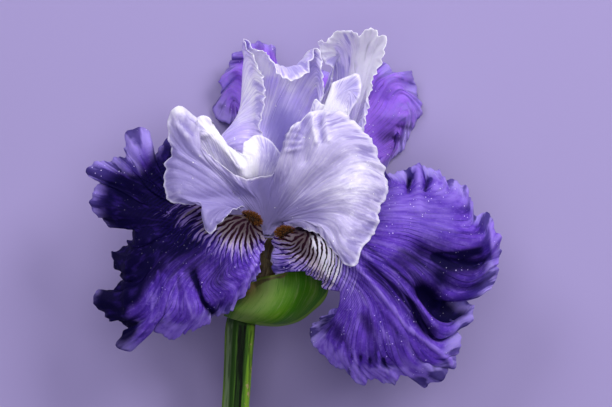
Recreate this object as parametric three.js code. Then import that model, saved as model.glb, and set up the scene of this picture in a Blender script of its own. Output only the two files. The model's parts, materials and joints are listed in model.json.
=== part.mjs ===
// Cut bloom of a bearded iris lying on its back. Units are millimetres, +Z is up.
// The flower is laid out in its own frame (x across, y along the stem towards the bloom, z out of
// the bloom's front) and then tipped back until its rear petal and the cut end of its stem touch
// the ground.
import * as THREE from "three";

// ---------------------------------------------------------------- driving dimensions
const PETAL_THICKNESS = 0.8;
const STYLE_THICKNESS = 0.8;
const SPATHE_THICKNESS = 0.9;
const PETAL_COLUMNS = 36;
const PETAL_ROWS = 8;
const STYLE_COLUMNS = 18;
const STYLE_ROWS = 6;
const SPATHE_COLUMNS = 24;
const SPATHE_ROWS = 8;

// Shares of the way from claw to margin at which the hand-set rows of a petal lie.
const NECK_AT = 0.22;
const MID_AT = 0.571;
const RIM_AT = 0.844;
// Share of the margin over which its lobes are averaged, and how fast they die away inwards.
const MARGIN_SOFTNESS = 0.035;
const MARGIN_SAMPLES = 600;
const RUFFLE_FADE = 2.5;

const STEM_CUT_Y = -125;
const STEM_SIDES = 24;
const TIP_BACK = THREE.MathUtils.degToRad(12.2);

// Beards: gap of their underside from the middle of the petal, height over it, and the patch of
// the fall they cover (across from, across to, along from, along to, as shares).
const BEARD_LIFT = 0.8;
const BEARD_HEIGHT = 2.0;
const BEARD_EDGE = 0.4;
const BEARD_COLUMNS = 6;
const BEARD_ROWS = 9;
const BEARD_LEFT_PATCH = [0.44, 0.7, 0.14, 0.245];
const BEARD_RIGHT_PATCH = [0.38, 0.66, 0.13, 0.225];
const BEARD_BACK_PATCH = [0.4, 0.58, 0.14, 0.3];

// ---------------------------------------------------------------- colours
const WHITE_PETAL = 0xe4e0f4;
const VIOLET_PETAL = 0x4b3a99;
const BEARD_ORANGE = 0xa8682c;
const SPATHE_GREEN = 0x5f8a2c;
const PAPERY_BROWN = 0x8c7a58;
const STEM_GREEN = 0x55803a;
const TUBE_GREEN = 0x8a9a5c;
const POLLEN_CREAM = 0xe6dfc8;

// ---------------------------------------------------------------- petal shapes
// Each petal is given by rows of points running across it, from its claw (base) through its neck,
// middle and rim to its lobed margin.
const STANDARD_FRONT = {
  base: [[0, 0, 4.25], [1.5, 0, 4.5], [3, 0, 4.25]],
  neck: [[-3.8, 6.2, 4.6], [-1.8, 5.6, 5.8], [1.5, 5, 6.2], [4.8, 4.6, 5.8], [6.6, 4, 4.8]],
  mid: [
    [-4.9, 8.8, 6.6], [-13, 9, 17], [-17.5, 12, 18.5], [-16.5, 20, 17], [-11.5, 17.5, 13.5],
    [-3.5, 13, 9.5], [1, 12, 9.2], [6, 16, 12.5], [14, 23.5, 18.5], [22.5, 22, 21], [25, 12, 22.5],
    [22, 4.5, 21], [15, 4.6, 15.5], [7.3, 3.9, 6.6],
  ],
  rim: [
    [-5.4, 9.6, 7.4], [-16.5, 6, 21], [-26, 15, 20.5], [-27.5, 27, 18.5], [-19.5, 27.8, 18.5],
    [-8, 18.5, 13.8], [1.2, 17.5, 11.2], [9, 27, 17], [20, 34.5, 18.5], [32, 27, 20], [34, 12, 23],
    [27, -2, 25.5], [17.5, 2.4, 18], [7.8, 3.6, 7.2],
  ],
  margin: [
    [-5.7, 10, 7.8], [-8.8, 9, 14.4], [-12, 6, 18], [-17.3, 0.7, 21.6], [-19, 7, 20.5], [-20, 9.7, 20], [-25, 10, 20],
    [-31, 11.3, 18], [-32, 17, 16], [-31.7, 24.3, 15], [-29.5, 28.5, 16], [-31, 32.5, 14.5],
    [-31, 39, 15], [-28.5, 42.3, 16], [-25, 41.6, 15], [-21.4, 38.8, 14], [-22.2, 35.5, 15.5],
    [-21.6, 32.2, 17], [-18, 27, 17.5],
    [-13.7, 23.7, 17], [-8.7, 20, 14.5], [-4, 18.8, 12.5], [0, 19.3, 12], [3.7, 20.3, 12.5],
    [7, 25, 15], [8.7, 27, 16], [8.7, 31.7, 16], [10, 36, 16], [13.5, 38.5, 16], [16, 41, 14],
    [19, 41.7, 13], [24.3, 41, 13], [28, 40, 13.5], [34, 34.5, 14], [36.7, 31.7, 14],
    [38, 27.7, 14.5], [40, 23.3, 15], [41, 20.3, 15.5], [41.5, 14.3, 17], [38.8, 8.5, 20],
    [38.8, 4.5, 21], [37.3, 0.7, 22], [33.3, -4.2, 24], [31.3, -9.2, 25.5], [29.3, -10.3, 26],
    [25.7, -8, 25], [23.3, -4, 23], [20.7, -1, 20.5], [19, 0, 19], [15, 1.6, 15.5], [11.5, 3, 11],
    [8, 3.6, 7.4],
  ],
};

const FALL_LEFT = {
  base: [[-2.98, 0, 0.47], [-2.6, 0, 1.9], [-1.8, 0, 3.1]],
  neck: [[-8, 4.6, 2.6], [-7, 5.6, 7], [-4.8, 6.2, 13], [-1, 2.8, 12], [0.6, -1, 7]],
  mid: [
    [-16.5, 8.5, 2.5], [-22.5, 9.5, 4.5], [-27, 9.5, 7], [-30, 7, 9.5], [-31.5, 2, 12], [-31.5, -4, 14.5],
    [-30, -11, 17], [-25, -15.5, 19], [-18, -15.5, 19.5], [-9, -10, 17.5], [0.5, -2, 8],
  ],
  rim: [
    [-18.5, 14, 4], [-29, 22.5, 3], [-37.5, 21, 4], [-44.5, 18, 3], [-46, 8, 4.5], [-44, -3, 8.5],
    [-44, -16, 9.5], [-42, -26, 12], [-33, -28, 16.5], [-21.5, -25.5, 18.5], [-11, -19.5, 17.5],
    [-3.2, -11.5, 14.5], [1, -1.7, 7.3],
  ],
  margin: [
    [-20, 16, 4], [-22, 22, 1], [-29, 30, -2], [-31.5, 32.5, -3], [-34.7, 29, -2], [-37.8, 24, 1],
    [-38, 28, -2], [-38, 34.3, -5], [-41.7, 35.5, -6], [-46, 33.8, -6], [-46.5, 28.7, -5],
    [-46.5, 26, -3], [-50, 26.5, -5], [-52, 25, -5], [-55.7, 24.5, -6], [-59.8, 20.8, -6],
    [-55.5, 17.7, -2], [-56.7, 16, -3], [-58.2, 10.8, -2], [-56.5, 6.5, -2], [-54, 5, -2],
    [-51.6, 2.6, -2], [-49.6, 3.7, -1], [-45.8, 5.3, 2], [-44.3, 3.3, 4], [-43.5, -1, 4],
    [-44.5, -2.3, 2], [-47.5, -4.2, -1], [-51.7, -5, -3], [-51.5, -6.8, -3], [-51, -8.6, -2],
    [-48.4, -11.8, 0], [-45.4, -14.2, 4], [-45.4, -15.4, 4], [-49, -17.5, 1], [-51, -18.7, -1],
    [-55.2, -18.8, -3], [-57.3, -21, -3], [-56, -24.3, -2], [-52.8, -27.6, 0], [-50.9, -28.2, 1],
    [-47.2, -29.1, 4], [-46.1, -30.6, 6], [-47.5, -33.3, 6], [-49, -36.3, 6], [-47.3, -37.5, 7],
    [-45, -38.8, 8], [-43, -36.5, 8], [-42.7, -33.3, 9], [-42.4, -31.2, 9], [-38.5, -29.7, 12],
    [-35.5, -32.7, 12], [-32.6, -33.6, 12], [-29.6, -34.5, 12], [-28, -33.6, 13], [-24, -31.8, 14],
    [-18.3, -30, 14], [-15.7, -27.3, 15], [-11.5, -25.4, 15], [-7.7, -21.5, 14], [-4, -17.1, 13.5],
    [-1.8, -14, 13], [-0.7, -9.1, 12], [0.3, -4.7, 10], [1.4, -1.5, 7],
  ],
};

const FALL_RIGHT = {
  base: [[5.98, 0, 0.47], [5.6, 0, 1.9], [4.8, 0, 3.1]],
  neck: [[11.6, 2.4, 2], [11.8, 1.6, 7.2], [9, 0.4, 13], [5.2, -1.7, 11.4], [3.4, -2.2, 6.8]],
  mid: [
    [23, 12, 5], [31, 13, 9], [39, 11, 13], [44, 5, 16], [46, -3, 18.5], [45, -10, 20],
    [42, -16, 20.5], [37, -20, 19.5], [31.5, -20, 18], [28, -17, 18], [22, -12.5, 17.5],
    [14, -9.5, 16], [4.3, -3.5, 8],
  ],
  rim: [
    [27, 17, 4.5], [42, 17.5, 8], [55, 17, 6.5], [64, 12, 6.5], [70.5, 2, 9], [71.5, -10, 9],
    [64, -20, 10], [60, -30, 13], [57, -39, 13.5], [48, -41.5, 15], [37, -42, 15.5],
    [27.5, -39, 13.5], [23, -33, 12], [27, -25.5, 13.5], [25.5, -18, 15], [14.5, -11, 15],
    [3.6, -3, 7],
  ],
  margin: [
    [28, 20, 4], [38, 23.7, 3], [41.7, 21, 5], [46, 21.4, 3], [49.3, 21.9, 2], [51.5, 22.8, 1],
    [55.5, 23, 0], [58.2, 21.4, 0], [61.8, 19.2, 0], [66.2, 17, 0], [69.1, 15, 1], [70, 11.7, 2],
    [71.1, 7.6, 4], [72.5, 6.9, 5], [75.6, 8, 3], [77.4, 4, 4], [79.2, -1.3, 5], [80.3, -5.3, 5],
    [79.2, -9.3, 5], [78.7, -13.3, 5], [76.5, -17.9, 6], [71, -18.2, 5], [67, -18.5, 4],
    [67.8, -21.2, 5], [70.5, -22.8, 7], [71, -24.3, 8], [70, -28.5, 8], [66.6, -31.6, 8],
    [64.7, -30.3, 7], [62.8, -29.7, 6], [65.8, -32.3, 8], [66, -36.2, 9], [64.3, -40, 9],
    [65, -42.3, 9], [60.9, -44.2, 8], [62, -45.3, 9], [59.7, -48, 9], [57.4, -49, 8],
    [54, -50.9, 8], [52.5, -49.6, 7], [52.5, -46.9, 7], [50.6, -44.6, 8], [48.7, -46.7, 11],
    [45.6, -46.9, 12], [44, -49.6, 11], [41, -49.3, 11], [36.3, -47.7, 11], [33.5, -49.2, 10],
    [29.5, -46.5, 9], [24.9, -44.2, 8], [21.1, -40, 7], [18, -38, 6], [16.1, -35, 5],
    [15.5, -31.2, 5], [19.6, -27.7, 7], [23.3, -25.7, 9], [26.3, -23.9, 10], [27.4, -20.1, 12],
    [21.9, -17.2, 13], [19.2, -15.7, 13], [15, -12.1, 13.5], [13.6, -11.3, 14], [9.8, -11.9, 13.5],
    [4.2, -12.4, 12], [3.4, -9.4, 11], [4, -5, 9], [3.1, -1.9, 6.5],
  ],
};

const FALL_BACK = {
  base: [[-0.33, 0, -4.1], [1.5, 0, -4.5], [3.33, 0, -4.1]],
  neck: [[-2, 13, -15], [2, 11, -18.5], [7, 11, -19], [11, 9, -15]],
  mid: [
    [-2, 21, -21], [-4, 33, -27], [-2, 41, -29], [6, 42, -29.5], [15, 42, -31], [27, 42, -32],
    [36, 41, -32], [40, 35, -32], [36, 26, -30], [22, 15, -20],
  ],
  rim: [
    [-2, 23, -22], [-9, 40, -34], [-10, 50, -35], [-6, 58, -34], [2, 59, -32], [10, 50, -32],
    [22, 53, -35], [35, 53, -35], [44, 52, -34], [48.5, 46, -36], [47, 36, -36], [41, 26, -33],
    [22, 15, -20],
  ],
  margin: [
    [-2, 24, -22], [-6, 34, -28], [-8.5, 39.7, -33], [-11.3, 38, -35], [-13, 38.5, -37],
    [-15.4, 39.3, -39], [-17.2, 42, -40], [-16.5, 44, -39], [-14.9, 46.8, -38], [-13.8, 49.8, -37],
    [-14.3, 51.7, -38], [-13.5, 54, -38], [-11.8, 58.7, -38], [-10.4, 60, -37], [-8.5, 62.3, -37],
    [-3, 65.8, -36], [0, 65.7, -36], [3, 65, -35], [3.8, 62.3, -33], [5.6, 57.7, -33],
    [6.7, 56.7, -33], [10, 52, -33], [15, 54, -36], [20, 56, -38], [27, 55, -38], [34, 56, -37],
    [40.4, 59, -37], [42.7, 57.7, -37], [44.6, 56, -37], [47.1, 53.8, -36], [48.7, 54.8, -38],
    [50.3, 55.7, -39], [51.6, 52.8, -39], [52.9, 50, -40], [53.7, 45.2, -40], [53.5, 42, -40],
    [52.2, 38.2, -39], [50.3, 33.7, -38], [48, 29.7, -37], [43.9, 25.7, -35], [42.3, 22.3, -33],
    [39.7, 21.5, -30], [30, 19, -25], [22, 15, -20],
  ],
};

const STANDARD_BACK_LEFT = {
  base: [[-2.98, 0, -0.47], [-2.4, 0, -2.25], [-1.15, 0, -3.64]],
  neck: [[-7, 9.5, -1.2], [-7.2, 10.5, -5], [-3, 10, -8], [3, 8.5, -7.2]],
  mid: [
    [-10, 21, -1], [-16, 29, -4], [-9.5, 33.5, -9.5], [-3, 35.5, -14.5], [0.5, 37, -17.5], [4.5, 36, -19],
    [10, 31, -17], [12.5, 24, -13.5], [9, 14, -8.5],
  ],
  rim: [
    [-5, 22, 3], [-6.5, 31, 3], [-2.6, 40, -1], [-3, 49, -4], [-6.2, 60, -8.5], [-4, 61, -12],
    [4, 58, -14], [10, 57, -13.5], [16, 59, -13.5], [18, 53, -12], [17.5, 44, -12], [15, 32, -12],
    [12, 22, -10.5], [7.5, 12, -7],
  ],
  margin: [
    [-4, 20, 2], [-1, 27, 4], [0, 33, 5], [-0.8, 36.3, 5], [0.3, 38, 4.5], [0.8, 41.7, 4],
    [1.3, 44, 3.5], [0.8, 46.7, 2], [0.8, 50.3, 1], [-0.2, 53.4, 0], [-1.9, 57, -2],
    [-4.7, 61.7, -4], [-5.8, 65, -6], [-3, 63, -8], [0, 61.4, -9], [2.3, 59.7, -10],
    [4.5, 56.2, -9], [5.5, 54, -7], [7, 52.7, -5], [10.3, 51.7, -4], [14.3, 53, -5],
    [16.3, 58, -9], [17.2, 62.7, -10], [18.6, 62.5, -10], [19.7, 59.2, -9], [20.2, 53.3, -8],
    [20.5, 47.9, -8], [19, 40, -8.5], [16, 30, -9.5], [12, 20, -9], [7, 11, -6.6],
  ],
};

const STANDARD_BACK_RIGHT = {
  base: [[4.15, 0, -3.64], [5.4, 0, -2.25], [5.98, 0, -0.47]],
  neck: [[5, 9, -9], [9, 9.5, -9.5], [12.5, 9, -6], [13, 8.5, -2]],
  mid: [
    [8, 17, -15], [15, 28, -22], [21, 36, -23.5], [27, 38, -19], [30, 34, -12], [26, 26, -6],
    [17.5, 12.5, -1],
  ],
  rim: [
    [7, 14, -13], [17.5, 38, -22.5], [22.5, 52, -22], [24.5, 60, -19], [31, 61, -16.5],
    [37, 59, -10], [34.8, 47, -5], [30.5, 33, -1.5], [18, 13, 0.5],
  ],
  margin: [
    [5, 10, -10.5], [12, 26, -19.5], [18, 40, -21], [24.1, 53.8, -18], [20.7, 58.3, -16],
    [18.7, 64.3, -13.5], [21.6, 65.7, -10], [26.3, 68.2, -8], [30.5, 68.5, -8], [31.8, 67.5, -7],
    [32.3, 66.3, -6], [34.3, 68.2, -5], [38.2, 68.5, -4], [38.3, 66.7, -4], [40.4, 66.9, -3],
    [41.8, 65.9, -2], [41.3, 63.3, -1], [39.5, 57.7, 0], [37.2, 51.9, 1], [35.6, 46.2, 1],
    [34.7, 39.8, 2], [33.9, 35.3, 2], [28, 25, 2], [18, 13, 1],
  ],
};

// Style arms: straps that end in two crests, one over each pollen sac.
const STYLE_ARM_LEFT = {
  base: [[-0.5, -0.3, -0.3], [-0.2, -0.3, 1], [0.8, -0.3, 1.8]],
  neck: [[-6.5, 9, 0.4], [-4.6, 9.4, 1.6], [-2, 9, 2], [0.6, 8.2, 1.6]],
  mid: [
    [-9.5, 14, 4], [-14, 20, 7], [-15, 25, 9], [-11, 25, 9.6], [-5.5, 20, 8.6], [-2, 22, 8.8],
    [1.5, 21, 8.2], [3, 16, 6.4], [2.5, 10.5, 3.8],
  ],
  rim: [
    [-10.4, 14.6, 4.4], [-18.5, 25, 8.4], [-20.5, 33, 9.4], [-16, 32.5, 10], [-9, 25, 9.8],
    [-5, 26, 9.4], [0, 28, 9], [4, 25, 8.4], [5, 18, 7], [3, 11, 4],
  ],
  margin: [
    [-10.8, 14.6, 4.5], [-17.5, 21, 7], [-23, 29, 8], [-24, 35.5, 8], [-21.5, 39, 8],
    [-19.1, 39.7, 8], [-17, 38.5, 8.2], [-15.8, 35.8, 8.6], [-15.2, 33.7, 8.8],
    [-14, 32.2, 9], [-11.4, 29.8, 9.2], [-9, 28.3, 9.4], [-7.5, 27, 9.6], [-7, 24, 9.2],
    [-6.3, 28, 8.8], [-6, 30.7, 8.4], [-4.8, 31.3, 8.2], [-2.5, 33.1, 7.8], [0.5, 32.8, 7.8],
    [3.5, 30.7, 8], [5.6, 28, 8.2], [7, 26, 8.4], [7.7, 23, 8.4], [5.5, 16, 6], [3.5, 11, 4],
  ],
};

const STYLE_ARM_RIGHT = {
  base: [[2.2, -0.3, 1.8], [3.2, -0.3, 1], [3.5, -0.3, -0.3]],
  neck: [[4, 8.2, 3], [6.2, 9, 3.2], [8.4, 8.4, 2.4], [10, 7, 1]],
  mid: [
    [6.5, 12, 3.6], [10, 20, 6], [12.5, 26, 7.6], [17, 26, 8], [20.5, 27, 8.2], [21.5, 22, 7.6],
    [17, 14, 5], [12, 9, 2.4],
  ],
  rim: [
    [7.5, 13, 3.8], [11.5, 23, 7], [14.5, 31, 8.8], [19.5, 29, 9.2], [24.5, 32, 9.6],
    [26.5, 27, 9.4], [22, 18, 7], [13, 9.5, 2.8],
  ],
  margin: [
    [8, 13.5, 4], [11, 21, 6.6], [13, 29, 8.6], [14, 34, 9.4], [16.5, 36, 9.8], [19, 34, 9.8],
    [20.5, 30, 9.4], [22.5, 34, 10], [26, 36, 10.4], [29, 33, 10.6], [29, 28, 10.4], [26, 20, 8.4],
    [20, 13.5, 5.6], [13.5, 9.8, 3],
  ],
};

const STYLE_ARM_BACK = {
  base: [[3, -0.3, -1.3], [1.5, -0.3, -1.9], [0, -0.3, -1.3]],
  neck: [[8.5, 9.5, -4.2], [6.5, 9.8, -3.4], [4, 9.4, -3.6], [2.4, 8.8, -4.6]],
  mid: [
    [15.5, 17, -3], [20, 25, -1.6], [23.5, 32, -1], [21, 35, -1.4], [17.5, 33, -2],
    [14.5, 33, -2.6], [12.5, 28, -3], [9.5, 21, -3.6], [6.8, 15, -4.4],
  ],
  rim: [
    [17, 19, -2.8], [24, 31, -1], [28, 41, -0.6], [29, 48, -1], [25, 46, -1.6], [20.5, 41.5, -2],
    [17.5, 41, -2.2], [14, 32, -2.8], [9.5, 22, -3.6], [7.2, 16, -4.2],
  ],
  margin: [
    [17.5, 19.5, -2.6], [23, 27, -1.4], [27, 34, -0.8], [29.6, 41.3, -0.4], [32, 45, -0.6],
    [33, 48, -1], [33, 51, -1.4], [31.8, 53.8, -1.8], [26.3, 52, -2.4], [23.5, 50.7, -2.6],
    [23.2, 49, -2.4], [23, 46, -2.2], [21.5, 43.5, -2.2], [19.5, 44, -1.8], [18, 45.5, -1.8],
    [16.7, 43.3, -2.2], [15, 36, -2.8], [12, 26, -3.4], [7.5, 16.5, -4.2],
  ],
};

// The green outer bract: a keeled boat opening round the tube of the flower.
const SPATHE_OUTER = {
  base: [
    [-12.4, -27, 0.8], [-10, -27.6, 5], [-6, -28.6, 6], [-2, -29.4, 4], [-0.9, -29.7, 0],
    [-2, -29.4, -4], [-6, -28.6, -6], [-10, -27.6, -5], [-12.4, -27, -0.8],
  ],
  neck: [
    [-12, -25.6, 1], [-9, -25.6, 7], [-2, -27, 9], [4, -29, 7], [6, -30, 0], [4, -29, -7],
    [-2, -27, -9], [-9, -25.6, -7], [-12, -25.6, -1],
  ],
  mid: [
    [-11.4, -24, 1.9], [-6, -22.5, 7.4], [2, -22.5, 9.9], [11, -23.5, 8.5], [15.5, -26.2, 0],
    [11, -23.5, -8.5], [2, -22.5, -9.9], [-6, -22.5, -7.4], [-11.4, -24, -1.9],
  ],
  rim: [
    [-10.8, -22.6, 2.9], [-3, -18.5, 7.4], [4, -18, 8.8], [14, -15, 7.5], [21.5, -17.5, 0],
    [14, -15, -7.5], [4, -18, -8.8], [-3, -18.5, -7.4], [-10.8, -22.6, -2.9],
  ],
  margin: [
    [-10.6, -22, 3.3], [-7, -18.5, 5.7], [-1.3, -14.6, 7], [3.3, -13.4, 8], [7.7, -12.4, 7.6],
    [14, -9.5, 5.6], [20.5, -7.5, 0], [14, -9.5, -5.6], [7.7, -12.5, -7.6], [3.3, -14.7, -8],
    [-1.3, -15, -7], [-7, -18.5, -5.7], [-10.6, -22, -3.3],
  ],
};

const STEM_LINE = [
  [-13.2, STEM_CUT_Y, 0.4], [-11.6, -100, 0.4], [-10, -78, 0.2], [-8.7, -57, 0], [-7.8, -42, 0],
  [-7.2, -32, 0], [-6.8, -28, 0],
];
const STEM_RADII = [4.7, 4.7, 4.65, 4.65, 4.8, 5.1, 4.85];
const STEM_FLUTE = 0.03;
const STEM_FLUTES = 5;
const STEM_RINGS = 14;

// Inside the bract: the papery sheath, the ovary and the tube that carries the petals.
const CORE_SIDES = 18;
const SHEATH_LINE = [
  [-6.6, -26.4, 0], [-6, -24.4, 0], [-3.8, -21, 0], [-1.5, -17, 0], [0.2, -12, 0], [0.9, -8.6, 0],
  [1.2, -6.4, 0],
];
const SHEATH_RADII = [3.9, 4.1, 4.4, 4.8, 4.3, 3.6, 3.4];
const SHEATH_THICKNESS = 0.6;
const SHEATH_RINGS = 8;
const SHEATH_SLANT = 0.25;
const SHEATH_TIP_ANGLE = 0.4;
const OVARY_LINE = [[-6.3, -25.8, 0], [-5.2, -23, 0], [-3.2, -20, 0], [-1.5, -17, 0]];
const OVARY_RADII = [2.2, 3.1, 3.2, 2.0];
const OVARY_RINGS = 6;
const TUBE_LINE = [[-1.2, -16.4, 0], [0.1, -12.5, 0], [0.9, -8.5, 0], [1.35, -4.5, 0], [1.5, -0.9, 0]];
const TUBE_RADII = [1.9, 1.9, 1.9, 2.4, 4.8];
const TUBE_RINGS = 8;

// Stamens: a filament that widens into the pollen sac under each style arm.
const STAMEN_LEFT_LINE = [
  [-1.3, -0.3, 1.6], [-2.4, 3, 2.3], [-3.9, 6.6, 3.1], [-5.5, 10, 4.4], [-7.4, 14.5, 7.2],
  [-9.2, 19, 9.1],
];
const STAMEN_RIGHT_LINE = [
  [4.3, -0.3, 1.6], [5.2, 3, 2.8], [6.2, 6.4, 4.2], [7.6, 10, 5.8], [9.6, 14.5, 7.4],
  [11.8, 19, 8.9],
];
const STAMEN_BACK_LINE = [
  [1.5, -0.3, -3.2], [2.2, 3, -4], [3.6, 7, -5.1], [5.6, 11, -5.7], [8.4, 16.5, -5.5],
  [11, 22, -5.2],
];
const STAMEN_RADII = [0.4, 0.45, 0.5, 0.8, 0.8, 0.45];
const STAMEN_SIDES = 10;
const STAMEN_RINGS = 12;

// ---------------------------------------------------------------- curves and surfaces
const lerp = (a, b, t) => a + (b - a) * t;

function mix(a, b, t) {
  return a.map((value, k) => lerp(value, b[k], t));
}

function distance(a, b) {
  return Math.hypot(a[0] - b[0], a[1] - b[1], a[2] - b[2]);
}

// A point of the smooth curve through evenly weighted points, t from 0 to 1.
function onCurve(points, t) {
  const last = points.length - 1;
  const x = THREE.MathUtils.clamp(t, 0, 1) * last;
  const i = Math.min(Math.floor(x), last - 1);
  const s = x - i;
  const p1 = points[i];
  const p2 = points[i + 1];
  const p0 = i > 0 ? points[i - 1] : mix(p2, p1, 2);
  const p3 = i + 2 <= last ? points[i + 2] : mix(p1, p2, 2);
  return p1.map((_, k) => {
    const a = 2 * p1[k];
    const b = (p2[k] - p0[k]) * s;
    const c = (2 * p0[k] - 5 * p1[k] + 4 * p2[k] - p3[k]) * s * s;
    const d = (3 * p1[k] - p0[k] - 3 * p2[k] + p3[k]) * s * s * s;
    return 0.5 * (a + b + c + d);
  });
}

function runningLengths(points) {
  const at = [0];
  for (let i = 1; i < points.length; i++) {
    at.push(at[i - 1] + distance(points[i - 1], points[i]));
  }
  return at.map((length) => length / at[at.length - 1]);
}

// The share at which a rising list of values reaches x.
function reach(values, x) {
  let i = 0;
  while (i < values.length - 2 && values[i + 1] < x) {
    i++;
  }
  const step = values[i + 1] - values[i];
  return (i + THREE.MathUtils.clamp((x - values[i]) / step, 0, 1)) / (values.length - 1);
}

// A curve's points averaged with their neighbours, its ends held.
function softened(points, spread) {
  const reachCount = Math.max(1, Math.floor(3 * spread));
  const last = points.length - 1;
  const at = (i) => {
    if (i < 0) {
      return mix(points[0], points[-i], -1);
    }
    return i > last ? mix(points[last], points[2 * last - i], -1) : points[i];
  };
  return points.map((_, i) => {
    const sum = [0, 0, 0];
    let weight = 0;
    for (let j = -reachCount; j <= reachCount; j++) {
      const w = Math.exp(-0.5 * (j / spread) ** 2);
      const p = at(i + j);
      weight += w;
      sum.forEach((_, k) => {
        sum[k] += w * p[k];
      });
    }
    return sum.map((value) => value / weight);
  });
}

// Smooth passage down one column of row points placed at the given shares.
function alongColumn(knots, column, v) {
  let i = 0;
  while (i < knots.length - 2 && v > knots[i + 1]) {
    i++;
  }
  const slope = (k, axis) => {
    const before = Math.max(k - 1, 0);
    const after = Math.min(k + 1, knots.length - 1);
    if (after - before === 1) {
      return (column[after][axis] - column[before][axis]) / (knots[after] - knots[before]);
    }
    const h0 = knots[k] - knots[before];
    const h1 = knots[after] - knots[k];
    const d0 = (column[k][axis] - column[before][axis]) / h0;
    const d1 = (column[after][axis] - column[k][axis]) / h1;
    return (d0 * h1 + d1 * h0) / (h0 + h1);
  };
  const h = knots[i + 1] - knots[i];
  const t = (v - knots[i]) / h;
  return [0, 1, 2].map((axis) => {
    const start = (2 * t ** 3 - 3 * t ** 2 + 1) * column[i][axis];
    const leave = (t ** 3 - 2 * t ** 2 + t) * h * slope(i, axis);
    const end = (-2 * t ** 3 + 3 * t ** 2) * column[i + 1][axis];
    const arrive = (t ** 3 - t ** 2) * h * slope(i + 1, axis);
    return start + leave + end + arrive;
  });
}

// The petal's surface as a function of u (across) and v (claw to margin).
function petalSurface(petal) {
  const margin = [];
  const lengths = runningLengths(petal.margin);
  for (let i = 0; i < MARGIN_SAMPLES; i++) {
    margin.push(onCurve(petal.margin, reach(lengths, i / (MARGIN_SAMPLES - 1))));
  }
  const soft = softened(margin, MARGIN_SOFTNESS * MARGIN_SAMPLES);
  const softLengths = runningLengths(soft);
  const knots = [0, NECK_AT, MID_AT, RIM_AT, 1];
  return (u, v) => {
    const t = reach(softLengths, u);
    const i = Math.min(Math.floor(t * (MARGIN_SAMPLES - 1)), MARGIN_SAMPLES - 2);
    const s = t * (MARGIN_SAMPLES - 1) - i;
    const edge = mix(margin[i], margin[i + 1], s);
    const calm = mix(soft[i], soft[i + 1], s);
    const rows = [petal.base, petal.neck, petal.mid, petal.rim].map((row) => onCurve(row, u));
    const point = alongColumn(knots, [...rows, calm], v);
    const ruffle = THREE.MathUtils.clamp((v - NECK_AT) / (1 - NECK_AT), 0, 1) ** RUFFLE_FADE;
    return point.map((value, k) => value + ruffle * (edge[k] - calm[k]));
  };
}

function gridOf(surface, columns, rows, [u0, u1, v0, v1] = [0, 1, 0, 1]) {
  const grid = [];
  for (let j = 0; j <= rows; j++) {
    const row = [];
    for (let i = 0; i <= columns; i++) {
      row.push(surface(lerp(u0, u1, i / columns), lerp(v0, v1, j / rows)));
    }
    grid.push(row);
  }
  return grid;
}

// The surface a grid of flat facets makes, again as a function of u and v.
function acrossGrid(grid) {
  const rows = grid.length - 1;
  const columns = grid[0].length - 1;
  return (u, v) => {
    const i = Math.min(Math.floor(u * columns), columns - 1);
    const j = Math.min(Math.floor(v * rows), rows - 1);
    const s = u * columns - i;
    const near = mix(grid[j][i], grid[j][i + 1], s);
    return mix(near, mix(grid[j + 1][i], grid[j + 1][i + 1], s), v * rows - j);
  };
}

function gridNormals(grid) {
  const rows = grid.length - 1;
  const columns = grid[0].length - 1;
  const vector = (a, b) => new THREE.Vector3(b[0] - a[0], b[1] - a[1], b[2] - a[2]);
  return grid.map((row, j) => row.map((_, i) => {
    const across = vector(row[Math.max(i - 1, 0)], row[Math.min(i + 1, columns)]);
    const along = vector(grid[Math.max(j - 1, 0)][i], grid[Math.min(j + 1, rows)][i]);
    return across.cross(along).normalize();
  }));
}

function meshFrom(positions, triangles) {
  const geometry = new THREE.BufferGeometry();
  geometry.setAttribute("position", new THREE.Float32BufferAttribute(positions.flat(), 3));
  geometry.setIndex(triangles.flat());
  geometry.computeVertexNormals();
  return geometry;
}

// A closed slab between two grids of points; upper lies on the side the grid's normals point to.
function slab(upper, lower) {
  const rows = upper.length - 1;
  const columns = upper[0].length - 1;
  const stride = columns + 1;
  const under = (rows + 1) * stride;
  const triangles = [];
  const quad = (a, b, c, d) => {
    triangles.push([a, b, c], [a, c, d]);
  };
  for (let j = 0; j < rows; j++) {
    for (let i = 0; i < columns; i++) {
      const a = j * stride + i;
      const b = a + 1;
      const c = b + stride;
      const d = a + stride;
      quad(a, b, c, d);
      quad(under + b, under + a, under + d, under + c);
    }
  }
  for (let i = 0; i < columns; i++) {
    const top = rows * stride + i;
    quad(i + 1, i, under + i, under + i + 1);
    quad(top, top + 1, under + top + 1, under + top);
  }
  for (let j = 0; j < rows; j++) {
    const left = j * stride;
    const right = left + columns;
    quad(left, left + stride, under + left + stride, under + left);
    quad(right + stride, right, under + right, under + right + stride);
  }
  return meshFrom([...upper.flat(), ...lower.flat()], triangles);
}

// The grid moved along its normals by an amount that may change over it.
function lifted(grid, amount) {
  const normals = gridNormals(grid);
  return grid.map((row, j) => row.map((p, i) => {
    const n = normals[j][i];
    const d = amount(i, j);
    return [p[0] + n.x * d, p[1] + n.y * d, p[2] + n.z * d];
  }));
}

function petalShell(petal, columns, rows, thickness) {
  const grid = gridOf(petalSurface(petal), columns, rows);
  const half = thickness / 2;
  return slab(lifted(grid, () => half), lifted(grid, () => -half));
}

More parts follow.
